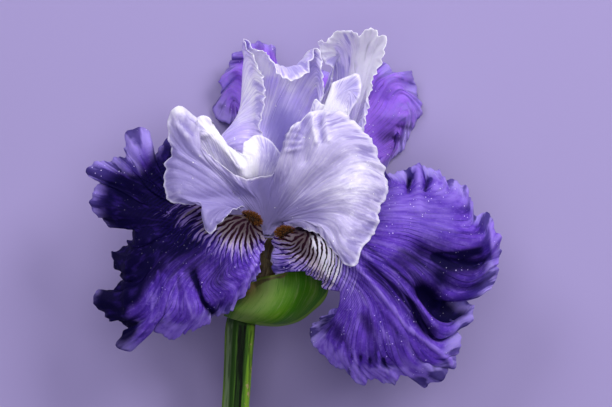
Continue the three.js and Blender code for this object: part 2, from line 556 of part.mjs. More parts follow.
// The beard: a domed pad along the middle of a fall's claw, above its upper face. Side is +1 where
// that face looks along the surface's normals and -1 where it looks against them.
function beardPad(petal, patch, side) {
  const built = gridOf(petalSurface(petal), PETAL_COLUMNS, PETAL_ROWS);
  const grid = gridOf(acrossGrid(built), BEARD_COLUMNS, BEARD_ROWS, patch);
  const dome = (i, j) => {
    const across = Math.sin(Math.PI * i / BEARD_COLUMNS);
    const along = Math.sin(Math.PI * (0.12 + 0.8 * j / BEARD_ROWS));
    return BEARD_LIFT + BEARD_EDGE + (BEARD_HEIGHT - BEARD_EDGE) * across * along;
  };
  const top = lifted(grid, (i, j) => side * dome(i, j));
  const bottom = lifted(grid, () => side * BEARD_LIFT);
  return side > 0 ? slab(top, bottom) : slab(bottom, top);
}

// Rings of points round a centre line, closed at both ends.
function loft(line, radii, sides, rings, section = () => 1) {
  const curve = new THREE.CatmullRomCurve3(line.map((p) => new THREE.Vector3(...p)));
  const positions = [];
  const triangles = [];
  const side = new THREE.Vector3(0, 0, 1);
  for (let j = 0; j <= rings; j++) {
    const t = j / rings;
    const centre = curve.getPoint(t);
    const across = new THREE.Vector3().crossVectors(side, curve.getTangent(t)).normalize();
    const out = new THREE.Vector3().crossVectors(curve.getTangent(t), across).normalize();
    const radius = onCurve(radii.map((r) => [r]), t)[0];
    for (let i = 0; i < sides; i++) {
      const angle = 2 * Math.PI * i / sides;
      const r = radius * section(angle, t);
      const p = centre.clone();
      p.addScaledVector(across, r * Math.cos(angle));
      p.addScaledVector(out, r * Math.sin(angle));
      positions.push(p.toArray());
    }
  }
  const start = positions.length;
  positions.push(curve.getPoint(0).toArray(), curve.getPoint(1).toArray());
  for (let j = 0; j < rings; j++) {
    for (let i = 0; i < sides; i++) {
      const a = j * sides + i;
      const b = j * sides + (i + 1) % sides;
      triangles.push([a, b, b + sides], [a, b + sides, a + sides]);
    }
  }
  for (let i = 0; i < sides; i++) {
    const next = (i + 1) % sides;
    const top = rings * sides;
    triangles.push([next, i, start], [top + i, top + next, start + 1]);
  }
  return meshFrom(positions, triangles);
}

// A tube wall round a centre line, its mouth cut on a slant.
function sleeve(line, radii, thickness, sides, rings, slant) {
  const curve = new THREE.CatmullRomCurve3(line.map((p) => new THREE.Vector3(...p)));
  const side = new THREE.Vector3(0, 0, 1);
  const positions = [];
  const triangles = [];
  const addRing = (share, inset) => {
    for (let i = 0; i < sides; i++) {
      const angle = 2 * Math.PI * i / sides;
      const t = share * (1 - slant * (0.5 - 0.5 * Math.cos(angle - SHEATH_TIP_ANGLE)));
      const centre = curve.getPoint(t);
      const across = new THREE.Vector3().crossVectors(side, curve.getTangent(t)).normalize();
      const radius = onCurve(radii.map((r) => [r]), t)[0] - inset;
      centre.addScaledVector(across, radius * Math.cos(angle));
      centre.addScaledVector(side, radius * Math.sin(angle));
      positions.push(centre.toArray());
    }
  };
  for (let j = 0; j <= rings; j++) {
    addRing(j / rings, 0);
  }
  for (let j = rings; j >= 0; j--) {
    addRing(j / rings, thickness);
  }
  const count = 2 * (rings + 1);
  for (let j = 0; j < count; j++) {
    for (let i = 0; i < sides; i++) {
      const a = j * sides + i;
      const b = j * sides + (i + 1) % sides;
      const c = ((j + 1) % count) * sides + (i + 1) % sides;
      const d = ((j + 1) % count) * sides + i;
      triangles.push([a, b, c], [a, c, d]);
    }
  }
  return meshFrom(positions, triangles);
}

// ---------------------------------------------------------------- the flower
const flower = new THREE.Group();
flower.name = "bearded_iris";

function add(name, geometry, color, roughness = 0.55) {
  const material = new THREE.MeshStandardMaterial({ color, roughness });
  const mesh = new THREE.Mesh(geometry, material);
  mesh.name = name;
  flower.add(mesh);
}

const petals = [
  ["standard_front", STANDARD_FRONT, WHITE_PETAL],
  ["standard_back_left", STANDARD_BACK_LEFT, WHITE_PETAL],
  ["standard_back_right", STANDARD_BACK_RIGHT, WHITE_PETAL],
  ["fall_left", FALL_LEFT, VIOLET_PETAL],
  ["fall_right", FALL_RIGHT, VIOLET_PETAL],
  ["fall_back", FALL_BACK, VIOLET_PETAL],
];
for (const [name, shape, color] of petals) {
  add(name, petalShell(shape, PETAL_COLUMNS, PETAL_ROWS, PETAL_THICKNESS), color);
}

const styleArms = [
  ["style_arm_left", STYLE_ARM_LEFT],
  ["style_arm_right", STYLE_ARM_RIGHT],
  ["style_arm_back", STYLE_ARM_BACK],
];
for (const [name, shape] of styleArms) {
  add(name, petalShell(shape, STYLE_COLUMNS, STYLE_ROWS, STYLE_THICKNESS), WHITE_PETAL);
}

const beards = [
  ["beard_left", FALL_LEFT, BEARD_LEFT_PATCH, -1],
  ["beard_right", FALL_RIGHT, BEARD_RIGHT_PATCH, 1],
  ["beard_back", FALL_BACK, BEARD_BACK_PATCH, 1],
];
for (const [name, shape, patch, side] of beards) {
  add(name, beardPad(shape, patch, side), BEARD_ORANGE, 0.9);
}

const stamens = [
  ["stamen_left", STAMEN_LEFT_LINE],
  ["stamen_right", STAMEN_RIGHT_LINE],
  ["stamen_back", STAMEN_BACK_LINE],
];
for (const [name, line] of stamens) {
  add(name, loft(line, STAMEN_RADII, STAMEN_SIDES, STAMEN_RINGS), POLLEN_CREAM, 0.8);
}

const fluted = (angle) => 1 + STEM_FLUTE * Math.cos(STEM_FLUTES * angle);
add("stem", loft(STEM_LINE, STEM_RADII, STEM_SIDES, STEM_RINGS, fluted), STEM_GREEN);
const spathe = petalShell(SPATHE_OUTER, SPATHE_COLUMNS, SPATHE_ROWS, SPATHE_THICKNESS);
add("spathe_outer", spathe, SPATHE_GREEN);
const papery = sleeve(SHEATH_LINE, SHEATH_RADII, SHEATH_THICKNESS, CORE_SIDES, SHEATH_RINGS, SHEATH_SLANT);
add("spathe_inner", papery, PAPERY_BROWN, 0.8);
add("ovary", loft(OVARY_LINE, OVARY_RADII, CORE_SIDES, OVARY_RINGS), TUBE_GREEN);
add("perianth_tube", loft(TUBE_LINE, TUBE_RADII, CORE_SIDES, TUBE_RINGS), TUBE_GREEN);

// Tipped onto its back and set down: its lowest point at z = 0, the middle of its length and
// width over the origin.
const tip = new THREE.Matrix4().makeRotationX(TIP_BACK);
const extent = new THREE.Box3();
for (const mesh of flower.children) {
  mesh.geometry.applyMatrix4(tip);
  mesh.geometry.computeBoundingBox();
  extent.union(mesh.geometry.boundingBox);
}
const middle = extent.getCenter(new THREE.Vector3());
for (const mesh of flower.children) {
  mesh.geometry.translate(-middle.x, -middle.y, -extent.min.z);
}

export default flower;
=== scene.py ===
"""Cut bloom of a bearded iris lying on its back: petals, style arms, beards, bracts and stem."""

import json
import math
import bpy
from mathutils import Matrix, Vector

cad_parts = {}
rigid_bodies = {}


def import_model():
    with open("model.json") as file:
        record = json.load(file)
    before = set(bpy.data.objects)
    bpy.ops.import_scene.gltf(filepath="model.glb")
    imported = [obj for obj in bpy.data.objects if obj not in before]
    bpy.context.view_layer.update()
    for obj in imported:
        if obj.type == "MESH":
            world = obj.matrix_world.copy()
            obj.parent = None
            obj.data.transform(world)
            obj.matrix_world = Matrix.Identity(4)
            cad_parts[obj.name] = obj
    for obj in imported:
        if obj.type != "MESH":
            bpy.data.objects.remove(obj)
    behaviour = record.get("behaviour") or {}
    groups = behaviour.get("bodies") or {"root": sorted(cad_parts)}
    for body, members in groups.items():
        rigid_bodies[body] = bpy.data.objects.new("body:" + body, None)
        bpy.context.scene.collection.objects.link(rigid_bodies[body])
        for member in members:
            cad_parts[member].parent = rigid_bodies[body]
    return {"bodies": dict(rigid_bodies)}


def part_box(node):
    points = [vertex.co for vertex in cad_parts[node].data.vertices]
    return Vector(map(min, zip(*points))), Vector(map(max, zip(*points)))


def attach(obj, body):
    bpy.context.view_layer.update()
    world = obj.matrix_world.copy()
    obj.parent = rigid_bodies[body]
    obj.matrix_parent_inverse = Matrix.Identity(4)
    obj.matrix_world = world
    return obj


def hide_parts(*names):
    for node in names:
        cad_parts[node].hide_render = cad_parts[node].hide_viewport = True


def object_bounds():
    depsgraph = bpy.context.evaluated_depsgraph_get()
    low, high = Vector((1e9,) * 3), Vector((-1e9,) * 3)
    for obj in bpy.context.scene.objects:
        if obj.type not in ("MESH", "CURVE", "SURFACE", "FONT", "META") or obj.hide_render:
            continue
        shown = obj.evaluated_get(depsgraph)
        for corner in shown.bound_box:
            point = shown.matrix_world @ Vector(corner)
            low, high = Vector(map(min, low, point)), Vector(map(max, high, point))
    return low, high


bl_info = {
    "name": "Bearded Iris Bloom",
    "version": (1, 0, 0),
    "blender": (4, 5, 0),
    "location": "3D View > Sidebar > Iris",
    "description": "Builds the petals, beards, bracts and stem of a cut bearded iris bloom",
    "category": "Add Mesh",
}

import bpy
import numpy as np
from mathutils import Vector

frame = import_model()
CAD_BOX = [list(corner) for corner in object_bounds()]

# ------------------------------------------------------------------ shapes, in millimetres
# The bloom is laid out in its own frame: x across, y along the stem towards the bloom, z out of
# the bloom's front. It is then tipped back by TIP_BACK and set down on the frame.
TIP_BACK = math.radians(12.2)
MILLIMETRE = 0.001

# Each petal is given by rows of points across it, from its claw (base) through its neck, middle
# and rim to its lobed margin. These are the shares of the way at which the rows lie.
ROWS_AT = (0.0, 0.22, 0.571, 0.844, 1.0)

# The calm run of a margin is averaged over a share of its length, from so many samples, and the
# lobes that stand out from it fade inwards by a power of the way along the petal.
MARGIN_SOFTNESS = 0.035
MARGIN_SAMPLES = 600
LOBE_FADE = 2.5

STANDARD_FRONT = {
    "base": [[0, 0, 4.25], [1.5, 0, 4.5], [3, 0, 4.25]],
    "neck": [[-3.8, 6.2, 4.6], [-1.8, 5.6, 5.8], [1.5, 5, 6.2], [4.8, 4.6, 5.8], [6.6, 4, 4.8]],
    "mid": [
        [-4.9, 8.8, 6.6], [-13, 9, 17], [-17.5, 12, 18.5], [-16.5, 20, 17], [-11.5, 17.5, 13.5],
        [-3.5, 13, 9.5], [1, 12, 9.2], [6, 16, 12.5], [14, 23.5, 18.5], [22.5, 22, 21], [25, 12, 22.5],
        [22, 4.5, 21], [15, 4.6, 15.5], [7.3, 3.9, 6.6],
    ],
    "rim": [
        [-5.4, 9.6, 7.4], [-16.5, 6, 21], [-26, 15, 20.5], [-27.5, 27, 18.5], [-19.5, 27.8, 18.5],
        [-8, 18.5, 13.8], [1.2, 17.5, 11.2], [9, 27, 17], [20, 34.5, 18.5], [32, 27, 20], [34, 12, 23],
        [27, -2, 25.5], [17.5, 2.4, 18], [7.8, 3.6, 7.2],
    ],
    "margin": [
        [-5.7, 10, 7.8], [-8.8, 9, 14.4], [-12, 6, 18], [-17.3, 0.7, 21.6], [-19, 7, 20.5],
        [-20, 9.7, 20], [-25, 10, 20],
        [-31, 11.3, 18], [-32, 17, 16], [-31.7, 24.3, 15], [-29.5, 28.5, 16], [-31, 32.5, 14.5],
        [-31, 39, 15], [-28.5, 42.3, 16], [-25, 41.6, 15], [-21.4, 38.8, 14], [-22.2, 35.5, 15.5],
        [-21.6, 32.2, 17], [-18, 27, 17.5],
        [-13.7, 23.7, 17], [-8.7, 20, 14.5], [-4, 18.8, 12.5], [0, 19.3, 12], [3.7, 20.3, 12.5],
        [7, 25, 15], [8.7, 27, 16], [8.7, 31.7, 16], [10, 36, 16], [13.5, 38.5, 16], [16, 41, 14],
        [19, 41.7, 13], [24.3, 41, 13], [28, 40, 13.5], [34, 34.5, 14], [36.7, 31.7, 14],
        [38, 27.7, 14.5], [40, 23.3, 15], [41, 20.3, 15.5], [41.5, 14.3, 17], [38.8, 8.5, 20],
        [38.8, 4.5, 21], [37.3, 0.7, 22], [33.3, -4.2, 24], [31.3, -9.2, 25.5], [29.3, -10.3, 26],
        [25.7, -8, 25], [23.3, -4, 23], [20.7, -1, 20.5], [19, 0, 19], [15, 1.6, 15.5], [11.5, 3, 11],
        [8, 3.6, 7.4],
    ],
}

FALL_LEFT = {
    "base": [[-2.98, 0, 0.47], [-2.6, 0, 1.9], [-1.8, 0, 3.1]],
    "neck": [[-8, 4.6, 2.6], [-7, 5.6, 7], [-4.8, 6.2, 13], [-1, 2.8, 12], [0.6, -1, 7]],
    "mid": [
        [-16.5, 8.5, 2.5], [-22.5, 9.5, 4.5], [-27, 9.5, 7], [-30, 7, 9.5], [-31.5, 2, 12],
        [-31.5, -4, 14.5],
        [-30, -11, 17], [-25, -15.5, 19], [-18, -15.5, 19.5], [-9, -10, 17.5], [0.5, -2, 8],
    ],
    "rim": [
        [-18.5, 14, 4], [-29, 22.5, 3], [-37.5, 21, 4], [-44.5, 18, 3], [-46, 8, 4.5], [-44, -3, 8.5],
        [-44, -16, 9.5], [-42, -26, 12], [-33, -28, 16.5], [-21.5, -25.5, 18.5], [-11, -19.5, 17.5],
        [-3.2, -11.5, 14.5], [1, -1.7, 7.3],
    ],
    "margin": [
        [-20, 16, 4], [-22, 22, 1], [-29, 30, -2], [-31.5, 32.5, -3], [-34.7, 29, -2], [-37.8, 24, 1],
        [-38, 28, -2], [-38, 34.3, -5], [-41.7, 35.5, -6], [-46, 33.8, -6], [-46.5, 28.7, -5],
        [-46.5, 26, -3], [-50, 26.5, -5], [-52, 25, -5], [-55.7, 24.5, -6], [-59.8, 20.8, -6],
        [-55.5, 17.7, -2], [-56.7, 16, -3], [-58.2, 10.8, -2], [-56.5, 6.5, -2], [-54, 5, -2],
        [-51.6, 2.6, -2], [-49.6, 3.7, -1], [-45.8, 5.3, 2], [-44.3, 3.3, 4], [-43.5, -1, 4],
        [-44.5, -2.3, 2], [-47.5, -4.2, -1], [-51.7, -5, -3], [-51.5, -6.8, -3], [-51, -8.6, -2],
        [-48.4, -11.8, 0], [-45.4, -14.2, 4], [-45.4, -15.4, 4], [-49, -17.5, 1], [-51, -18.7, -1],
        [-55.2, -18.8, -3], [-57.3, -21, -3], [-56, -24.3, -2], [-52.8, -27.6, 0], [-50.9, -28.2, 1],
        [-47.2, -29.1, 4], [-46.1, -30.6, 6], [-47.5, -33.3, 6], [-49, -36.3, 6], [-47.3, -37.5, 7],
        [-45, -38.8, 8], [-43, -36.5, 8], [-42.7, -33.3, 9], [-42.4, -31.2, 9], [-38.5, -29.7, 12],
        [-35.5, -32.7, 12], [-32.6, -33.6, 12], [-29.6, -34.5, 12], [-28, -33.6, 13], [-24, -31.8, 14],
        [-18.3, -30, 14], [-15.7, -27.3, 15], [-11.5, -25.4, 15], [-7.7, -21.5, 14], [-4, -17.1, 13.5],
        [-1.8, -14, 13], [-0.7, -9.1, 12], [0.3, -4.7, 10], [1.4, -1.5, 7],
    ],
}

FALL_RIGHT = {
    "base": [[5.98, 0, 0.47], [5.6, 0, 1.9], [4.8, 0, 3.1]],
    "neck": [[11.6, 2.4, 2], [11.8, 1.6, 7.2], [9, 0.4, 13], [5.2, -1.7, 11.4], [3.4, -2.2, 6.8]],
    "mid": [
        [23, 12, 5], [31, 13, 9], [39, 11, 13], [44, 5, 16], [46, -3, 18.5], [45, -10, 20],
        [42, -16, 20.5], [37, -20, 19.5], [31.5, -20, 18], [28, -17, 18], [22, -12.5, 17.5],
        [14, -9.5, 16], [4.3, -3.5, 8],
    ],
    "rim": [
        [27, 17, 4.5], [42, 17.5, 8], [55, 17, 6.5], [64, 12, 6.5], [70.5, 2, 9], [71.5, -10, 9],
        [64, -20, 10], [60, -30, 13], [57, -39, 13.5], [48, -41.5, 15], [37, -42, 15.5],
        [27.5, -39, 13.5], [23, -33, 12], [27, -25.5, 13.5], [25.5, -18, 15], [14.5, -11, 15],
        [3.6, -3, 7],
    ],
    "margin": [
        [28, 20, 4], [38, 23.7, 3], [41.7, 21, 5], [46, 21.4, 3], [49.3, 21.9, 2], [51.5, 22.8, 1],
        [55.5, 23, 0], [58.2, 21.4, 0], [61.8, 19.2, 0], [66.2, 17, 0], [69.1, 15, 1], [70, 11.7, 2],
        [71.1, 7.6, 4], [72.5, 6.9, 5], [75.6, 8, 3], [77.4, 4, 4], [79.2, -1.3, 5], [80.3, -5.3, 5],
        [79.2, -9.3, 5], [78.7, -13.3, 5], [76.5, -17.9, 6], [71, -18.2, 5], [67, -18.5, 4],
        [67.8, -21.2, 5], [70.5, -22.8, 7], [71, -24.3, 8], [70, -28.5, 8], [66.6, -31.6, 8],
        [64.7, -30.3, 7], [62.8, -29.7, 6], [65.8, -32.3, 8], [66, -36.2, 9], [64.3, -40, 9],
        [65, -42.3, 9], [60.9, -44.2, 8], [62, -45.3, 9], [59.7, -48, 9], [57.4, -49, 8],
        [54, -50.9, 8], [52.5, -49.6, 7], [52.5, -46.9, 7], [50.6, -44.6, 8], [48.7, -46.7, 11],
        [45.6, -46.9, 12], [44, -49.6, 11], [41, -49.3, 11], [36.3, -47.7, 11], [33.5, -49.2, 10],
        [29.5, -46.5, 9], [24.9, -44.2, 8], [21.1, -40, 7], [18, -38, 6], [16.1, -35, 5],
        [15.5, -31.2, 5], [19.6, -27.7, 7], [23.3, -25.7, 9], [26.3, -23.9, 10], [27.4, -20.1, 12],
        [21.9, -17.2, 13], [19.2, -15.7, 13], [15, -12.1, 13.5], [13.6, -11.3, 14], [9.8, -11.9, 13.5],
        [4.2, -12.4, 12], [3.4, -9.4, 11], [4, -5, 9], [3.1, -1.9, 6.5],
    ],
}

FALL_BACK = {
    "base": [[-0.33, 0, -4.1], [1.5, 0, -4.5], [3.33, 0, -4.1]],
    "neck": [[-2, 13, -15], [2, 11, -18.5], [7, 11, -19], [11, 9, -15]],
    "mid": [
        [-2, 21, -21], [-4, 33, -27], [-2, 41, -29], [6, 42, -29.5], [15, 42, -31], [27, 42, -32],
        [36, 41, -32], [40, 35, -32], [36, 26, -30], [22, 15, -20],
    ],
    "rim": [
        [-2, 23, -22], [-9, 40, -34], [-10, 50, -35], [-6, 58, -34], [2, 59, -32], [10, 50, -32],
        [22, 53, -35], [35, 53, -35], [44, 52, -34], [48.5, 46, -36], [47, 36, -36], [41, 26, -33],
        [22, 15, -20],
    ],
    "margin": [
        [-2, 24, -22], [-6, 34, -28], [-8.5, 39.7, -33], [-11.3, 38, -35], [-13, 38.5, -37],
        [-15.4, 39.3, -39], [-17.2, 42, -40], [-16.5, 44, -39], [-14.9, 46.8, -38], [-13.8, 49.8, -37],
        [-14.3, 51.7, -38], [-13.5, 54, -38], [-11.8, 58.7, -38], [-10.4, 60, -37], [-8.5, 62.3, -37],
        [-3, 65.8, -36], [0, 65.7, -36], [3, 65, -35], [3.8, 62.3, -33], [5.6, 57.7, -33],
        [6.7, 56.7, -33], [10, 52, -33], [15, 54, -36], [20, 56, -38], [27, 55, -38], [34, 56, -37],
        [40.4, 59, -37], [42.7, 57.7, -37], [44.6, 56, -37], [47.1, 53.8, -36], [48.7, 54.8, -38],
        [50.3, 55.7, -39], [51.6, 52.8, -39], [52.9, 50, -40], [53.7, 45.2, -40], [53.5, 42, -40],
        [52.2, 38.2, -39], [50.3, 33.7, -38], [48, 29.7, -37], [43.9, 25.7, -35], [42.3, 22.3, -33],
        [39.7, 21.5, -30], [30, 19, -25], [22, 15, -20],
    ],
}

STANDARD_BACK_LEFT = {
    "base": [[-2.98, 0, -0.47], [-2.4, 0, -2.25], [-1.15, 0, -3.64]],
    "neck": [[-7, 9.5, -1.2], [-7.2, 10.5, -5], [-3, 10, -8], [3, 8.5, -7.2]],
    "mid": [
        [-10, 21, -1], [-16, 29, -4], [-9.5, 33.5, -9.5], [-3, 35.5, -14.5], [0.5, 37, -17.5],
        [4.5, 36, -19],
        [10, 31, -17], [12.5, 24, -13.5], [9, 14, -8.5],
    ],
    "rim": [
        [-5, 22, 3], [-6.5, 31, 3], [-2.6, 40, -1], [-3, 49, -4], [-6.2, 60, -8.5], [-4, 61, -12],
        [4, 58, -14], [10, 57, -13.5], [16, 59, -13.5], [18, 53, -12], [17.5, 44, -12], [15, 32, -12],
        [12, 22, -10.5], [7.5, 12, -7],
    ],
    "margin": [
        [-4, 20, 2], [-1, 27, 4], [0, 33, 5], [-0.8, 36.3, 5], [0.3, 38, 4.5], [0.8, 41.7, 4],
        [1.3, 44, 3.5], [0.8, 46.7, 2], [0.8, 50.3, 1], [-0.2, 53.4, 0], [-1.9, 57, -2],
        [-4.7, 61.7, -4], [-5.8, 65, -6], [-3, 63, -8], [0, 61.4, -9], [2.3, 59.7, -10],
        [4.5, 56.2, -9], [5.5, 54, -7], [7, 52.7, -5], [10.3, 51.7, -4], [14.3, 53, -5],
        [16.3, 58, -9], [17.2, 62.7, -10], [18.6, 62.5, -10], [19.7, 59.2, -9], [20.2, 53.3, -8],
        [20.5, 47.9, -8], [19, 40, -8.5], [16, 30, -9.5], [12, 20, -9], [7, 11, -6.6],
    ],
}

STANDARD_BACK_RIGHT = {
    "base": [[4.15, 0, -3.64], [5.4, 0, -2.25], [5.98, 0, -0.47]],
    "neck": [[5, 9, -9], [9, 9.5, -9.5], [12.5, 9, -6], [13, 8.5, -2]],
    "mid": [
        [8, 17, -15], [15, 28, -22], [21, 36, -23.5], [27, 38, -19], [30, 34, -12], [26, 26, -6],
        [17.5, 12.5, -1],
    ],
    "rim": [
        [7, 14, -13], [17.5, 38, -22.5], [22.5, 52, -22], [24.5, 60, -19], [31, 61, -16.5],
        [37, 59, -10], [34.8, 47, -5], [30.5, 33, -1.5], [18, 13, 0.5],
    ],
    "margin": [
        [5, 10, -10.5], [12, 26, -19.5], [18, 40, -21], [24.1, 53.8, -18], [20.7, 58.3, -16],
        [18.7, 64.3, -13.5], [21.6, 65.7, -10], [26.3, 68.2, -8], [30.5, 68.5, -8], [31.8, 67.5, -7],
        [32.3, 66.3, -6], [34.3, 68.2, -5], [38.2, 68.5, -4], [38.3, 66.7, -4], [40.4, 66.9, -3],
        [41.8, 65.9, -2], [41.3, 63.3, -1], [39.5, 57.7, 0], [37.2, 51.9, 1], [35.6, 46.2, 1],
        [34.7, 39.8, 2], [33.9, 35.3, 2], [28, 25, 2], [18, 13, 1],
    ],
}

STYLE_ARM_LEFT = {
    "base": [[-0.5, -0.3, -0.3], [-0.2, -0.3, 1], [0.8, -0.3, 1.8]],
    "neck": [[-6.5, 9, 0.4], [-4.6, 9.4, 1.6], [-2, 9, 2], [0.6, 8.2, 1.6]],
    "mid": [
        [-9.5, 14, 4], [-14, 20, 7], [-15, 25, 9], [-11, 25, 9.6], [-5.5, 20, 8.6], [-2, 22, 8.8],
        [1.5, 21, 8.2], [3, 16, 6.4], [2.5, 10.5, 3.8],
    ],
    "rim": [
        [-10.4, 14.6, 4.4], [-18.5, 25, 8.4], [-20.5, 33, 9.4], [-16, 32.5, 10], [-9, 25, 9.8],
        [-5, 26, 9.4], [0, 28, 9], [4, 25, 8.4], [5, 18, 7], [3, 11, 4],
    ],
    "margin": [
        [-10.8, 14.6, 4.5], [-17.5, 21, 7], [-23, 29, 8], [-24, 35.5, 8], [-21.5, 39, 8],
        [-19.1, 39.7, 8], [-17, 38.5, 8.2], [-15.8, 35.8, 8.6], [-15.2, 33.7, 8.8],
        [-14, 32.2, 9], [-11.4, 29.8, 9.2], [-9, 28.3, 9.4], [-7.5, 27, 9.6], [-7, 24, 9.2],
        [-6.3, 28, 8.8], [-6, 30.7, 8.4], [-4.8, 31.3, 8.2], [-2.5, 33.1, 7.8], [0.5, 32.8, 7.8],
        [3.5, 30.7, 8], [5.6, 28, 8.2], [7, 26, 8.4], [7.7, 23, 8.4], [5.5, 16, 6], [3.5, 11, 4],
    ],
}

STYLE_ARM_RIGHT = {
    "base": [[2.2, -0.3, 1.8], [3.2, -0.3, 1], [3.5, -0.3, -0.3]],
    "neck": [[4, 8.2, 3], [6.2, 9, 3.2], [8.4, 8.4, 2.4], [10, 7, 1]],
    "mid": [
        [6.5, 12, 3.6], [10, 20, 6], [12.5, 26, 7.6], [17, 26, 8], [20.5, 27, 8.2], [21.5, 22, 7.6],
        [17, 14, 5], [12, 9, 2.4],
    ],
    "rim": [
        [7.5, 13, 3.8], [11.5, 23, 7], [14.5, 31, 8.8], [19.5, 29, 9.2], [24.5, 32, 9.6],
        [26.5, 27, 9.4], [22, 18, 7], [13, 9.5, 2.8],
    ],
    "margin": [
        [8, 13.5, 4], [11, 21, 6.6], [13, 29, 8.6], [14, 34, 9.4], [16.5, 36, 9.8], [19, 34, 9.8],
        [20.5, 30, 9.4], [22.5, 34, 10], [26, 36, 10.4], [29, 33, 10.6], [29, 28, 10.4], [26, 20, 8.4],
        [20, 13.5, 5.6], [13.5, 9.8, 3],
    ],
}

STYLE_ARM_BACK = {
    "base": [[3, -0.3, -1.3], [1.5, -0.3, -1.9], [0, -0.3, -1.3]],
    "neck": [[8.5, 9.5, -4.2], [6.5, 9.8, -3.4], [4, 9.4, -3.6], [2.4, 8.8, -4.6]],
    "mid": [
        [15.5, 17, -3], [20, 25, -1.6], [23.5, 32, -1], [21, 35, -1.4], [17.5, 33, -2],
        [14.5, 33, -2.6], [12.5, 28, -3], [9.5, 21, -3.6], [6.8, 15, -4.4],
    ],
    "rim": [
        [17, 19, -2.8], [24, 31, -1], [28, 41, -0.6], [29, 48, -1], [25, 46, -1.6], [20.5, 41.5, -2],
        [17.5, 41, -2.2], [14, 32, -2.8], [9.5, 22, -3.6], [7.2, 16, -4.2],
    ],
    "margin": [
        [17.5, 19.5, -2.6], [23, 27, -1.4], [27, 34, -0.8], [29.6, 41.3, -0.4], [32, 45, -0.6],
        [33, 48, -1], [33, 51, -1.4], [31.8, 53.8, -1.8], [26.3, 52, -2.4], [23.5, 50.7, -2.6],
        [23.2, 49, -2.4], [23, 46, -2.2], [21.5, 43.5, -2.2], [19.5, 44, -1.8], [18, 45.5, -1.8],
        [16.7, 43.3, -2.2], [15, 36, -2.8], [12, 26, -3.4], [7.5, 16.5, -4.2],
    ],
}

SPATHE_OUTER = {
    "base": [
        [-12.4, -27, 0.8], [-10, -27.6, 5], [-6, -28.6, 6], [-2, -29.4, 4], [-0.9, -29.7, 0],
        [-2, -29.4, -4], [-6, -28.6, -6], [-10, -27.6, -5], [-12.4, -27, -0.8],
    ],
    "neck": [
        [-12, -25.6, 1], [-9, -25.6, 7], [-2, -27, 9], [4, -29, 7], [6, -30, 0], [4, -29, -7],
        [-2, -27, -9], [-9, -25.6, -7], [-12, -25.6, -1],
    ],
    "mid": [
        [-11.4, -24, 1.9], [-6, -22.5, 7.4], [2, -22.5, 9.9], [11, -23.5, 8.5], [15.5, -26.2, 0],
        [11, -23.5, -8.5], [2, -22.5, -9.9], [-6, -22.5, -7.4], [-11.4, -24, -1.9],
    ],
    "rim": [
        [-10.8, -22.6, 2.9], [-3, -18.5, 7.4], [4, -18, 8.8], [14, -15, 7.5], [21.5, -17.5, 0],
        [14, -15, -7.5], [4, -18, -8.8], [-3, -18.5, -7.4], [-10.8, -22.6, -2.9],
    ],
    "margin": [
        [-10.6, -22, 3.3], [-7, -18.5, 5.7], [-1.3, -14.6, 7], [3.3, -13.4, 8], [7.7, -12.4, 7.6],
        [14, -9.5, 5.6], [20.5, -7.5, 0], [14, -9.5, -5.6], [7.7, -12.5, -7.6], [3.3, -14.7, -8],
        [-1.3, -15, -7], [-7, -18.5, -5.7], [-10.6, -22, -3.3],
    ],
}

STEM_LINE = [
    [-13.2, -125, 0.4], [-11.6, -100, 0.4], [-10, -78, 0.2], [-8.7, -57, 0], [-7.8, -42, 0],
    [-7.2, -32, 0], [-6.8, -28, 0],
]

STEM_RADII = [4.7, 4.7, 4.65, 4.65, 4.8, 5.1, 4.85]

SHEATH_LINE = [
    [-6.6, -26.4, 0], [-6, -24.4, 0], [-3.8, -21, 0], [-1.5, -17, 0], [0.2, -12, 0], [0.9, -8.6, 0],
    [1.2, -6.4, 0],
]

SHEATH_RADII = [3.9, 4.1, 4.4, 4.8, 4.3, 3.6, 3.4]

# How far back the sheath's mouth is cut on a slant, as a share, and the turn of its tip in radians.
SHEATH_SLANT = 0.25
SHEATH_TIP_ANGLE = 0.4

OVARY_LINE = [[-6.3, -25.8, 0], [-5.2, -23, 0], [-3.2, -20, 0], [-1.5, -17, 0]]

OVARY_RADII = [2.2, 3.1, 3.2, 2.0]

TUBE_LINE = [[-1.2, -16.4, 0], [0.1, -12.5, 0], [0.9, -8.5, 0], [1.35, -4.5, 0], [1.5, -0.9, 0]]

TUBE_RADII = [1.9, 1.9, 1.9, 2.4, 4.8]

STAMEN_LEFT_LINE = [
    [-1.3, -0.3, 1.6], [-2.4, 3, 2.3], [-3.9, 6.6, 3.1], [-5.5, 10, 4.4], [-7.4, 14.5, 7.2],
    [-9.2, 19, 9.1],
]

STAMEN_RIGHT_LINE = [
    [4.3, -0.3, 1.6], [5.2, 3, 2.8], [6.2, 6.4, 4.2], [7.6, 10, 5.8], [9.6, 14.5, 7.4],
    [11.8, 19, 8.9],
]

STAMEN_BACK_LINE = [
    [1.5, -0.3, -3.2], [2.2, 3, -4], [3.6, 7, -5.1], [5.6, 11, -5.7], [8.4, 16.5, -5.5],
    [11, 22, -5.2],
]

STAMEN_RADII = [0.4, 0.45, 0.5, 0.8, 0.8, 0.45]

